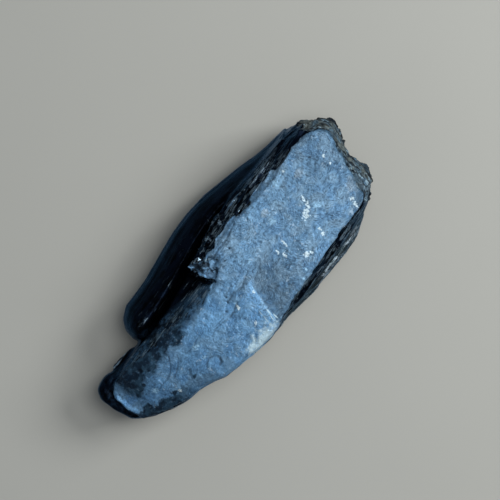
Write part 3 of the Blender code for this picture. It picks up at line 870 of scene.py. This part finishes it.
    def under_colour(self, n: Nodes, mm: Shade, grain: Shade, cloudy: Shade) -> Shade:
        """The colour of the underside: the silver of the face, duller, in long streaks with dark stains."""
        drawn = n.stretched(mm, (0.16, 1.0, 1.0))
        below = n.mixed(n.noise(drawn, 0.9, 3.0).ease(0.40, 0.62), self.silver_blue, self.silver_grey)
        light = 0.62 + 1.3 * (n.noise(drawn, 0.22, 2.0) - 0.5) + 0.9 * (grain - 0.5) + 0.9 * (cloudy - 0.5)
        below = n.tinted(below, n.grey(light.at_least(0.10)))
        stains = n.noise(n.stretched(mm, (0.5, 1.0, 1.0)), 2.2, 5.0).ease(0.52, 0.66)
        return n.mixed(stains * 0.75, below, self.smudge_and_shade)

    def rubble_colour(self, n: Nodes, mm: Shade, grain: Shade) -> Shade:
        """The colour of the broken end and the crumbled lip: small crystals, dark pits and brown stains."""
        x, y, z = n.parts(mm)
        shaken = n.stretched(n.pushed(mm, n.noise(mm, 0.6, 3.0, "Color"), 0.8), (0.9, 0.5, 1.5))
        crystal, sparkle, _ = n.parts(n.cells(shaken, 0.50, output="Color"))
        seam = n.cells(shaken, 0.50, "DISTANCE_TO_EDGE").ease(0.14, 0.0) * n.noise(mm, 0.7, 2.0).ease(0.38, 0.60)
        brown = n.noise(mm, 1.3, 2.0).ease(0.46, 0.60) * x.ease(6.0, 12.0)
        rubble = n.mixed(brown * 0.8, self.rubble, self.rubble_brown)
        silvery = x.ease(6.0, 3.0) * (0.4 + 0.6 * sparkle.ease(0.45, 0.60)) * grain.ease(0.34, 0.54)
        silvery = silvery.at_least(y.ease(-4.2, -5.6) * z.ease(7.6, 8.8) * 0.35)
        rubble = n.mixed(x.ease(6.0, 3.0) * 0.8, rubble, self.slope_navy_and_sheen)
        rubble = n.mixed(silvery * 0.8, rubble, self.silver)
        gaps = n.noise(n.stretched(mm, (0.8, 0.40, 1.5)), 0.60, 4.0).ease(0.53, 0.40)
        rubble = n.mixed(gaps * 0.9, rubble, self.rubble_dark)
        layers = n.noise(n.stretched(mm, (0.5, 0.14, 1.0)), 0.20, 3.0)
        worn = n.near(mm, self.worn_corner).ease(0.1, 0.6)
        depth = (0.40 + 0.60 * z.ease(5.0, 8.0)).at_least(worn)
        light = (0.70 + 0.9 * crystal) * (1.0 - 0.8 * seam) + 1.8 * (grain - 0.5) + 2.6 * (layers - 0.5)
        rubble = n.mixed(worn * 0.8, rubble, self.rubble_brown)
        rubble = n.tinted(rubble, n.grey((depth * light).at_least(0.06)))
        pale = (sparkle + 0.14 * z.ease(7.0, 8.6)).ease(0.84, 0.94) * (1.0 - seam) * grain.ease(0.36, 0.56)
        pale = pale * n.noise(mm, 1.5, 1.0).ease(0.38, 0.54)
        return n.mixed(pale * depth * 0.9, rubble, self.rubble_pale)

    def strokes(self, n: Nodes, mm: Shade, fibre: Shade) -> Shade:
        """Short dark strokes: the gaps between the fibres and the edges of the scales on the face."""
        bent = n.pushed(mm, n.noise(mm, 1.1, 2.0, "Color"), 1.1)
        edges = n.ridge(n.noise(n.stretched(bent, (1.0, 0.75, 1.0)), 0.80, 1.0), 0.035)
        here = n.noise(mm, 0.75, 1.0).ease(0.52, 0.62)
        there = n.noise(mm, 0.60, 1.0).ease(0.40, 0.60)
        return (edges * here * 0.8).at_least(fibre.ease(0.42, 0.30) * there)

    def dark_mottle_and_shade(self, n: Nodes, mm: Shade, cloudy: Shade) -> Shade:
        """Where the silver gives way to dark mottling: beside the shoulder, on the tip and at the edges; beside the
        shoulder and on the tip it is also painted shade where the face turns away from the light.
        """
        x, y, _ = n.parts(mm)
        wander = (n.noise(mm, 1.0, 3.0) - 0.5) * 2.6 + (cloudy - 0.5) * 1.6
        beside = (y + wander).ease(0.8, 2.3) * x.ease(-3.2, -5.2) * x.ease(-17.6, -16.4)
        inside = (y + 5.43) * 0.931 + (x + 6.28) * 0.366
        ragged = (n.noise(mm, 0.5, 4.0) - 0.5) * 2.2
        rim = (inside + ragged).ease(0.95, 0.35) * x.ease(-8.0, -11.0) * (0.35 + 0.65 * x.ease(-11.5, -15.0))
        light = n.near(mm, self.tip_light).ease(0.1, 0.6)
        return beside.at_least(self.patch(n, mm, self.smudges_and_shade, 0.9, 2.0)).at_least(rim) * (1.0 - light)

    def glints(self, n: Nodes, mm: Shade, fibre: Shade) -> Shade:
        """Small bright specks where a scale or a fibre catches the light."""
        small = n.noise(n.stretched(mm, (1.0, 0.7, 1.0)), 0.26, 1.0).ease(0.64, 0.74)
        large = n.noise(n.stretched(mm, (0.7, 1.0, 1.0)), 0.42, 1.0).ease(0.70, 0.78)
        here = n.noise(mm, 1.8, 2.0).ease(0.40, 0.62)
        return (small * 0.5).at_least(large * 0.7).at_least(fibre.ease(0.64, 0.76) * 0.5) * here

    def patch(self, n: Nodes, mm: Shade, blots: tuple[Blot, ...], grain: float, raggedness: float) -> Shade:
        """Patches that break up at their edges, as a share from 0 to 1."""
        ragged = n.noise(mm, grain, 3.0)
        total = n.nearest_of(mm, blots)
        return (total + (ragged - 0.5) * raggedness).ease(0.25, 0.85) * total.ease(0.0, 0.25)

    def painted_light_zones(self, n: Nodes, mm: Shade) -> Shade:
        """How bright the face is, as painted light and shade: painted shade above the step that crosses it, a painted
        highlight on the paler side below it, a painted sheen towards the right edge, and darker towards the broken end
        and in a patch by the right corner.
        """
        x, y, _ = n.parts(mm)
        beyond = (x + 0.5) * 0.9445 - (y + 3.8) * 0.3285
        beside = y.ease(-0.8, -2.6)
        dark = beyond.ease(-0.30, -0.10) * beyond.ease(6.0, 0.8) * beside
        pale = beyond.ease(-0.10, -0.34) * beyond.ease(-3.4, -0.3) * beside
        bright = x.ease(5.0, 8.0) * y.ease(-2.0, -3.5)
        fading = x.ease(12.5, 15.5)
        dusky = n.near(mm, self.dusk).ease(0.0, 0.7)
        return 1.0 - 0.42 * dark + 0.34 * pale + 0.10 * bright - 0.12 * fading - 0.42 * dusky

    def relief(self, n: Nodes, mm: Shade, silver: Shade, grain: Shade, fibre: Shade, flake: Shade) -> Shade:
        """The finest relief: flakes and fibres on the face, hair-thin lines along the sides."""
        lines = n.noise(n.stretched(mm, (0.10, 1.0, 1.0)), 0.12, 2.0)
        on_face = grain * 1.1 + fibre * 0.9 + flake * 0.22
        height = silver * on_face + (1.0 - silver) * (lines * 0.6 + grain * 0.3)
        inputs = {"Strength": 0.5, "Distance": 0.08 * MM, "Height": height}
        return n.add("ShaderNodeBump", inputs=inputs)


@dataclass(frozen=True)
class FloorFinish:
    """The finish of the floor: plain pale board."""

    pale: Colour = (0.480, 0.490, 0.460)
    paler: Colour = (0.505, 0.515, 0.485)
    roughness: float = 0.75

    def material(self) -> bpy.types.Material:
        """Makes the floor's material."""
        n = Nodes("pale_board")
        cloud = n.noise(n.places(), 25.0, 3.0)
        n.feed(n.shader.inputs["Base Color"], n.mixed(cloud, self.pale, self.paler))
        n.feed(n.shader.inputs["Roughness"], self.roughness)
        return n.material


@dataclass
class Stone:
    """The whole stone: a fine mesh in the form of the CAD solid, with its relief and its finish."""

    voxel: float = 0.105
    most_triangles: int = 190_000
    sharp_from: float = 38.0
    face_line_y: float = 0.0
    rest_height: float = 0.12
    lip_line: tuple[Span, ...] = ((-2.7, 4.3), (-1.9, 3.6), (-0.5, 2.9), (-1.5, 2.2))
    end_line: tuple[Span, ...] = (
        (-5.0, 14.9), (-4.3, 15.4), (-3.1, 16.1), (-1.9, 16.7), (-1.2, 16.9), (-0.6, 17.5), (0.45, 17.9),
        (1.7, 17.65), (2.3, 17.3), (3.5, 17.0),
    )
    finish: KyaniteFinish = field(default_factory=KyaniteFinish)
    bits: tuple[Bits, ...] = (
        Bits(
            Region((-2.0, 1.5, 7.6), (14.5, 8.0, 9.45), (0.0, 1.0, 0.0), 0.35),
            110, (0.6, 2.6), (0.28, 0.4), (0.20, 0.30), 0.04, 0.03, 0.35, 5, 0.10, 0.12,
        ),
        Bits(
            Region((-3.5, 1.5, 7.4), (1.0, 6.0, 9.4), (-0.4, 0.9, 0.0), 0.2),
            60, (0.35, 0.8), (0.35, 0.6), (0.28, 0.45), 0.8, 0.5, 0.30, 6, 0.25, 0.22,
        ),
        Bits(
            Region((13.0, -8.0, 0.6), (20.0, 5.0, 9.3), (1.0, 0.0, 0.0), 0.3),
            110, (0.5, 1.2), (0.5, 1.1), (0.4, 0.9), 0.6, 0.3, 0.35, 7, 0.22, 0.22,
        ),
        Bits(
            Region((-4.0, -9.0, 2.0), (12.5, -4.0, 9.3), (0.0, -1.0, 0.0), 0.35),
            80, (0.8, 4.0), (0.30, 0.5), (0.22, 0.40), 0.04, 0.03, 0.30, 8, 0.10, 0.14,
        ),
    )
    cracks: tuple[Crack, ...] = (
        Crack(((1.7, -0.72), (1.17, -0.82), (0.03, -1.02), (-0.94, -1.20))),
        Crack(((-1.2, -0.95), (-1.87, -0.87), (-2.85, -0.75)), 0.075),
        Crack(((-2.4, -1.72), (-3.34, -1.90), (-4.1, -1.91)), 0.09, 0.06),
        Crack(((-4.7, -1.70), (-6.06, -1.42)), 0.07),
        Crack(((-4.6, -1.46), (-5.9, -1.20)), 0.06),
        Crack(((-6.2, -1.56), (-7.0, -1.66)), 0.06),
        Crack(((-7.0, -0.55), (-7.89, -0.52), (-9.39, -0.53), (-10.04, -0.41)), 0.06),
        Crack(((0.0, 3.08), (1.5, 3.05), (3.0, 3.14), (4.1, 3.30)), 0.09, 0.10),
        Crack(((0.8, 2.72), (2.6, 2.84)), 0.06),
        Crack(((-11.2, 0.95), (-11.6, 0.6), (-12.04, 0.12), (-12.92, -0.29), (-13.77, -0.23), (-14.8, -0.26)), 0.08),
        Crack(((-10.6, 0.3), (-10.95, -0.11), (-11.5, -0.40), (-11.99, -0.61), (-12.8, -0.95)), 0.08),
        Crack(((-9.9, -3.1), (-9.67, -2.93), (-9.1, -2.72), (-8.46, -3.0), (-8.22, -3.45), (-8.49, -3.96)), 0.08),
        Crack(((-8.40, -3.10), (-8.22, -3.45), (-8.45, -3.92), (-8.8, -3.98)), 0.13, 0.07),
        Crack(((-11.1, -1.70), (-11.4, -2.0), (-11.69, -2.37)), 0.12, 0.06),
    )
    pits: tuple[Pit, ...] = (
        Pit(1.80, 2.25, 0.13, 0.16),
        Pit(-2.65, -0.47, 0.11),
        Pit(-2.99, -0.90, 0.12),
        Pit(-3.85, -1.31, 0.13, 0.15),
        Pit(-14.34, 2.50, 0.22, 0.22),
        Pit(-11.11, 2.84, 0.16, 0.18),
        Pit(-9.65, 2.66, 0.14, 0.16),
    )

    def build(self) -> bpy.types.Object:
        """Builds, dresses and places the stone.

        Returns:
            The finished object.
        """
        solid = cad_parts[NODE]
        obj = self.fused(solid)
        heights = self.face_heights(solid)
        self.carve(obj.data, heights)
        self.thin(obj)
        self.mark(obj.data, heights)
        self.keep_in_box(obj.data)
        obj.data.transform(Matrix.Scale(MM, 4))
        obj.data.shade_smooth()
        obj.data.set_sharp_from_angle(angle=math.radians(self.sharp_from))
        obj.data.materials.clear()
        obj.data.materials.append(self.finish.material())
        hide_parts(NODE)
        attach(obj, "root")
        return obj

    def fused(self, solid: bpy.types.Object) -> bpy.types.Object:
        """The CAD solid with small bits grown on to it, as one fine mesh.

        Args:
            solid: The CAD node's object.

        Returns:
            A new object in millimetres.
        """
        shape = bmesh.new()
        shape.from_mesh(solid.data)
        bmesh.ops.transform(shape, matrix=Matrix.Scale(1.0 / MM, 4), verts=shape.verts)
        bmesh.ops.triangulate(shape, faces=shape.faces)
        shape.normal_update()
        corners = np.array([[vert.co[:] for vert in face.verts] for face in shape.faces])
        normals = np.array([face.normal[:] for face in shape.faces])
        areas = np.array([face.calc_area() for face in shape.faces])
        surface = BVHTree.FromBMesh(shape)
        for bits in self.bits:
            bits.grow_on(shape, surface, corners, normals, areas)
        mesh = bpy.data.meshes.new("kyanite_stone")
        shape.to_mesh(mesh)
        shape.free()
        obj = bpy.data.objects.new("kyanite_stone", mesh)
        bpy.context.scene.collection.objects.link(obj)
        fuse = obj.modifiers.new("fuse", "REMESH")
        fuse.mode = "VOXEL"
        fuse.voxel_size = self.voxel
        self.apply_modifiers(obj)
        return obj

    def apply_modifiers(self, obj: bpy.types.Object) -> None:
        """Replaces the object's mesh by the one that its modifiers make."""
        graph = bpy.context.evaluated_depsgraph_get()
        made = bpy.data.meshes.new_from_object(obj.evaluated_get(graph))
        obj.modifiers.clear()
        obj.data = made

    def face_heights(self, solid: bpy.types.Object) -> tuple[np.ndarray, np.ndarray]:
        """The height of the broad face along the stone.

        Args:
            solid: The CAD node's object.

        Returns:
            Places along x, and the height at each, in millimetres.
        """
        tree = BVHTree.FromObject(solid, bpy.context.evaluated_depsgraph_get())
        low, high = CAD_BOX
        found = []
        for x in np.arange(low.x, high.x, 0.2 * MM):
            hit = tree.ray_cast(Vector((x, self.face_line_y * MM, 2.0 * high.z)), Vector((0.0, 0.0, -1.0)))[0]
            if hit:
                found.append((x, hit.z))
        along, heights = np.array(found).T / MM
        return along, heights

    def carve(self, mesh: bpy.types.Mesh, heights: tuple[np.ndarray, np.ndarray]) -> None:
        """Gives the fine mesh its relief.

        Args:
            mesh: The mesh, in millimetres.
            heights: The height of the face along x.
        """
        surface = Surface(mesh)
        rest = ease(self.rest_height, 4.0 * self.rest_height, surface.points[:, 2])
        broad = surface.broad_normals(12)
        surface.shift(self.tip_swell(surface.points, broad) * rest, broad)
        self.soften(surface, heights, rest)
        broad = surface.broad_normals(12)
        points = surface.points.copy()
        offset = self.face_relief(points, broad, heights)
        offset += self.side_relief(points, broad)
        offset += self.end_relief(points, broad)
        offset -= self.openings(points, broad, heights)
        surface.shift(offset * rest, broad)
        surface.relax(0.6 * self.on_break(points, broad) * rest, 2)
        surface.store()

    def soften(self, surface: Surface, heights: tuple[np.ndarray, np.ndarray], rest: np.ndarray) -> None:
        """Rounds what is worn smooth: the tip, the shoulder and the dark side blade.

        Args:
            surface: The fine surface.
            heights: The height of the face along x.
            rest: How free each vertex is to move.
        """
        along, height = heights
        window = np.exp(-0.5 * (np.arange(-20, 21) / 8.0) ** 2)
        rounded = np.convolve(np.pad(height, 20, mode="edge"), window / window.sum(), mode="valid")
        x, y, z = surface.points.T
        lower = 1.0 - ease(-4.0, -1.5, x)
        drop = np.minimum(np.interp(x, along, rounded - height), 0.0)
        near_face = ease(1.6, 0.6, np.interp(x, along, height) - z)
        surface.points[:, 2] += drop * lower * near_face * ease(-18.6, -17.4, x)
        blade = ease(3.6, 4.6, y) * (1.0 - ease(6.2, 7.0, z)) * (1.0 - ease(13.0, 15.0, x))
        shoulder = (1.0 - ease(-3.4, -2.6, x)) * ease(0.3, 1.0, y) * ease(3.8, 4.6, z)
        tip = 1.0 - ease(-17.0, -14.5, x)
        give = np.clip(0.12 + blade + shoulder + tip, 0.0, 1.0)
        surface.relax(give * rest, 24)
        x, y, z = surface.points.T
        beyond = np.abs((x + 0.5) * 0.9445 - (y + 3.8) * 0.3285)
        surface.relax(ease(1.0, 0.4, beyond) * ease(-0.8, -1.6, y) * ease(8.4, 8.8, z), 26)

    def face_relief(self, points: np.ndarray, normals: np.ndarray, heights: tuple[np.ndarray, np.ndarray]) -> np.ndarray:
        """Low scales and a faint swell on the cleavage face."""
        share = self.on_face(points, normals, heights)
        level, _ = scale_levels(points[:, :2] + 0.25 * soft_noise(points * 1.2, 11)[:, None], 0.85, 12)
        fine, _ = scale_levels(points[:, :2] * (0.8, 1.0) + 0.12 * soft_noise(points * 3.0, 13)[:, None], 0.38, 14)
        swell = 0.06 * rough_noise(points * (0.22, 0.35, 0.3), 15)
        return share * (swell - 0.035 * level - 0.030 * fine)

    def side_relief(self, points: np.ndarray, normals: np.ndarray) -> np.ndarray:
        """Long thin steps along the sides of the blades, and faint ones on the underside."""
        side = ease(0.25, 0.65, np.abs(normals[:, 1]))
        smooth_blade = ease(3.6, 4.6, points[:, 1]) * (1.0 - ease(6.2, 7.0, points[:, 2]))
        smooth_shoulder = (1.0 - ease(-3.4, -2.6, points[:, 0])) * ease(0.3, 1.0, points[:, 1])
        strength = side * (1.0 - 0.8 * np.clip(smooth_blade + smooth_shoulder, 0.0, 1.0))
        lean = 0.035 * points[:, 0] + 0.10 * soft_noise(points * (0.3, 1.0, 0.8), 21)
        across = points[:, 2] + lean
        coarse = plate_levels(points[:, 0], across, 7.0, 0.62, 22)
        middle = plate_levels(points[:, 0], across + 0.2, 4.0, 0.31, 24)
        fine = plate_levels(points[:, 0], across, 2.6, 0.17, 26)
        under = ease(0.6, 0.9, -normals[:, 2])
        low_level, _ = scale_levels(points[:, :2] * (0.5, 1.0), 1.3, 28)
        return strength * (0.09 - 0.13 * coarse - 0.08 * middle - 0.05 * fine) - under * 0.05 * low_level

    def tip_swell(self, points: np.ndarray, normals: np.ndarray) -> np.ndarray:
        """The sides of the tip, which are rounder and a little fuller than the flat bands of the solid."""
        x = points[:, 0]
        sides = ease(0.95, 0.50, np.abs(normals[:, 2])) * (1.0 - 0.8 * ease(-0.80, -0.97, normals[:, 0]))
        slim = ease(0.0, 0.5, normals[:, 1]) * ease(-17.4, -16.0, x)
        return 0.42 * sides * (1.0 - slim) * ease(-11.0, -15.0, x)

    def end_relief(self, points: np.ndarray, normals: np.ndarray) -> np.ndarray:
        """The granular, splintered surface of the broken end and of the crumbled lip."""
        share = self.on_break(points, normals)
        wander = np.stack([soft_noise(points * 0.9, seed) for seed in (34, 35, 36)], axis=1)
        coarse = block_levels((points + 0.30 * wander) * (1.0, 0.38, 1.2), 0.95, 31)
        fine = block_levels((points + 0.20 * wander) * (1.0, 0.55, 1.1), 0.42, 32)
        outward = 0.26 * ease(0.2, 0.7, normals[:, 0])
        return share * (outward + 0.12 * rough_noise(points * 1.2, 33, 2) - 0.34 * coarse - 0.13 * fine)

    def openings(self, points: np.ndarray, normals: np.ndarray, heights: tuple[np.ndarray, np.ndarray]) -> np.ndarray:
        """How deep the cracks and pits go at each place."""
        top = ease(0.35, 0.6, normals[:, 2]) * (points[:, 2] > 4.5)
        deep = np.zeros(len(points))
        for hole in self.cracks + self.pits:
            deep = np.maximum(deep, hole.depth * hole.share(points))
        return deep * top

    def on_face(self, points: np.ndarray, normals: np.ndarray, heights: tuple[np.ndarray, np.ndarray]) -> np.ndarray:
        """How much each place belongs to the broad cleavage face."""
        x, y, z = points.T
        below = np.interp(x, *heights) - z
        lower = ease(-1.5, -5.0, x)
        tip = ease(-12.0, -16.0, x)
        ragged = 0.05 * rough_noise(points * 1.6, 42) + 0.10 * lower * rough_noise(points * (0.8, 2.6, 2.6), 45)
        level = ease(0.76 - 0.06 * lower - 0.36 * tip, 0.90 + 0.04 * lower - 0.30 * tip, normals[:, 2] + ragged)
        reach = 0.30 + 0.5 * lower - 0.35 * tip + 0.4 * ease(14.5, 16.0, x)
        corner = ease(11.5, 13.0, x) * ease(-0.10, 0.20, y - 3.13 + 0.21 * (x - 13.35))
        return level * ease(2.2 * reach, reach, below) * ease(4.6, 5.4, z) * (1.0 - corner)

    def on_break(self, points: np.ndarray, normals: np.ndarray) -> np.ndarray:
        """How much each place belongs to the broken end or the crumbled lip."""
        x, y, z = points.T
        wander = 0.5 * rough_noise(points * 0.9, 41)
        corner = ease(2.0, 3.4, y)
        beyond = x + 0.5 * wander - np.interp(y, *np.array(self.end_line).T)
        least = 0.15 + 0.25 * ease(0.2, -0.2, beyond) * ease(0.55, 0.75, normals[:, 2])
        end = ease(least, least + 0.3, normals[:, 0])
        end *= ease(12.6 + 3.4 * corner, 14.2 + 2.8 * corner, x + wander)
        brink = ease(-0.25, 0.35, beyond)
        from_lip = distance_to_line(points[:, :2], self.lip_line)
        lip = ease(1.0, 0.3, from_lip + 0.6 * wander) * ease(6.8, 7.4, z)
        return np.clip(end + brink + lip, 0.0, 1.0)

    def thin(self, obj: bpy.types.Object) -> None:
        """Takes triangles away where the surface is nearly flat, down to the most that the stone may have."""
        triangles = sum(len(face.vertices) - 2 for face in obj.data.polygons)
        thinner = obj.modifiers.new("thin", "DECIMATE")
        thinner.ratio = min(1.0, self.most_triangles / triangles)
        self.apply_modifiers(obj)

    def mark(self, mesh: bpy.types.Mesh, heights: tuple[np.ndarray, np.ndarray]) -> None:
        """Writes to the mesh how much of each kind of surface there is at each vertex.

        Args:
            mesh: The mesh, in millimetres.
            heights: The height of the face along x.
        """
        surface = Surface(mesh)
        normals = surface.normals()
        broad = surface.broad_normals(6)
        points = surface.points
        face = self.on_face(points, broad, heights)
        ledge = 0.10 * ease(0.80, 0.96, normals[:, 2]) * ease(6.6, 7.6, points[:, 2])
        slope = ease(0.25, 0.55, broad[:, 2]) * ease(-1.7, -2.4, points[:, 0]) * ease(0.2, 0.8, points[:, 1])
        # beyond this line the shoulder keeps the sides' black, as painted deep shade beside the notch
        slope *= ease(2.3, 1.7, points[:, 1] + 0.30 * (points[:, 0] + 2.0))
        bend = np.einsum("ij,ij->i", surface.mean_of_neighbours(points) - points, normals)
        bend = surface.smoothed(bend, 2)
        top = ease(0.35, 0.6, broad[:, 2]) * (points[:, 2] > 4.5)
        holes = np.max([hole.share(points) for hole in self.cracks + self.pits], axis=0)
        x, y, z = points.T
        wander = rough_noise(points * (0.9, 1.3, 1.3), 46)
        rim = ease(-1.0, -2.2, x + 1.1 * wander) * ease(-15.4, -13.6, x) * ease(-1.0, -2.0, y)
        reach = 1.7 + 1.1 * ease(-7.5, -5.0, x) + 0.6 * wander
        rim *= ease(reach, reach - 0.7, np.interp(x, *heights) - z) * ease(-0.2, 0.2, broad[:, 2])
        surface.carry(Skin.SILVER, surface.smoothed(np.max((face, ledge, rim), axis=0), 14))
        surface.carry(Skin.SNAPPED, surface.smoothed(self.on_break(points, broad), 26))
        surface.carry(Skin.CRACKED, holes * top)
        surface.carry(Skin.WORN, ease(0.006, 0.030, -bend))
        # concave places, for the painted shade laid into them
        surface.carry(Skin.HOLLOW_SHADE, ease(0.008, 0.035, bend))
        surface.carry(Skin.SLOPE, slope * ease(4.2, 5.4, points[:, 2]) * (1.0 - face))
        surface.carry(Skin.UNDER, ease(0.70, 0.90, -broad[:, 2]))

    def keep_in_box(self, mesh: bpy.types.Mesh) -> None:
        """Keeps every vertex inside the box of the CAD solid."""
        surface = Surface(mesh)
        low, high = (np.array(corner) / MM for corner in CAD_BOX)
        surface.points = np.clip(surface.points, low, high)
        surface.store()


@dataclass
class Studio:
    """The floor, the lamps and the camera."""

    frame_width: float = 53.2
    frame_height_above_floor: float = 6.0
    aim: Span = (2.9, 0.35)
    image_right: Place = (0.574, -0.819, 0.0)
    image_up: Place = (0.819, 0.574, 0.0)
    distance: float = 400.0
    sensor: float = 36.0
    floor_size: float = 3000.0
    floor_gap: float = 0.02
    world: Colour = (0.86, 0.92, 1.0)
    world_strength: float = 0.17
    floor_finish: FloorFinish = field(default_factory=FloorFinish)

    def build(self) -> None:
        """Builds the studio."""
        self.lay_floor()
        self.hang(Lamp.WINDOW, (0.85, 0.35, 0.70), 260.0, 110.0, 0.42, (1.0, 0.99, 0.97))
        self.hang(Lamp.OVERHEAD, (0.25, 0.10, 1.0), 300.0, 160.0, 0.28, (1.0, 0.99, 0.97))
        self.hang(Lamp.FILL, (-0.8, -0.5, 0.6), 320.0, 140.0, 0.03, (1.0, 0.97, 0.94))
        self.set_world()
        self.set_camera()
        bpy.context.scene.view_settings.view_transform = "Standard"

    def lay_floor(self) -> None:
        """Lays a plain pale floor under the stone."""
        shape = bmesh.new()
        bmesh.ops.create_grid(shape, x_segments=1, y_segments=1, size=0.5 * self.floor_size * MM)
        mesh = bpy.data.meshes.new("floor")
        shape.to_mesh(mesh)
        shape.free()
        floor = bpy.data.objects.new("floor", mesh)
        floor.location.z = CAD_BOX[0].z - self.floor_gap * MM
        bpy.context.scene.collection.objects.link(floor)
        mesh.materials.append(self.floor_finish.material())

    def aim_point(self) -> Vector:
        """The point that the camera and the lamps look at."""
        return Vector((self.aim[0], self.aim[1], self.frame_height_above_floor)) * MM

    def hang(self, lamp: Lamp, towards: Place, distance: float, size: float, power: float, colour: Colour) -> None:
        """Hangs a square soft lamp that shines on the stone.

        Args:
            lamp: Which lamp it is.
            towards: Where it hangs, as shares of image right, image up and up from the floor.
            distance: How far from the stone it hangs.
            size: How wide it is.
            power: Its power in watts.
            colour: The colour of its light.
        """
        right, up = Vector(self.image_right), Vector(self.image_up)
        way = (right * towards[0] + up * towards[1] + Vector((0.0, 0.0, towards[2]))).normalized()
        data = bpy.data.lights.new(lamp.value, "AREA")
        data.size = size * MM
        data.energy = power
        data.color = colour
        light = bpy.data.objects.new(lamp.value, data)
        light.location = self.aim_point() + way * distance * MM
        light.rotation_mode = "QUATERNION"
        light.rotation_quaternion = way.to_track_quat("Z", "Y")
        bpy.context.scene.collection.objects.link(light)

    def set_world(self) -> None:
        """Sets an even pale light all round."""
        world = bpy.data.worlds.new("studio")
        world.use_nodes = True
        background = world.node_tree.nodes["Background"]
        background.inputs["Color"].default_value = (*self.world, 1.0)
        background.inputs["Strength"].default_value = self.world_strength
        bpy.context.scene.world = world

    def set_camera(self) -> None:
        """Sets the camera straight above the stone, turned as in the photograph."""
        data = bpy.data.cameras.new("camera")
        data.sensor_width = self.sensor
        data.lens = self.sensor * self.distance / self.frame_width
        data.clip_start = 0.01
        data.clip_end = 10.0
        camera = bpy.data.objects.new("camera", data)
        right, up = Vector(self.image_right).normalized(), Vector(self.image_up).normalized()
        back = right.cross(up)
        turned = Matrix((right, up, back)).transposed().to_4x4()
        turned.translation = self.aim_point() + back * self.distance * MM
        camera.matrix_world = turned
        bpy.context.scene.collection.objects.link(camera)
        bpy.context.scene.camera = camera


def main() -> None:
    """Builds the stone and the studio in order, and reports each."""
    logging.basicConfig(level=logging.INFO, format="%(name)s: %(message)s")
    started = time.perf_counter()
    stone = Stone().build()
    triangles = sum(len(face.vertices) - 2 for face in stone.data.polygons)
    LOG.info("%s: %d triangles in %.1f s", stone.name, triangles, time.perf_counter() - started)
    Studio().build()
    LOG.info("studio: floor, lamps and camera")


if __name__ == "__main__":
    main()
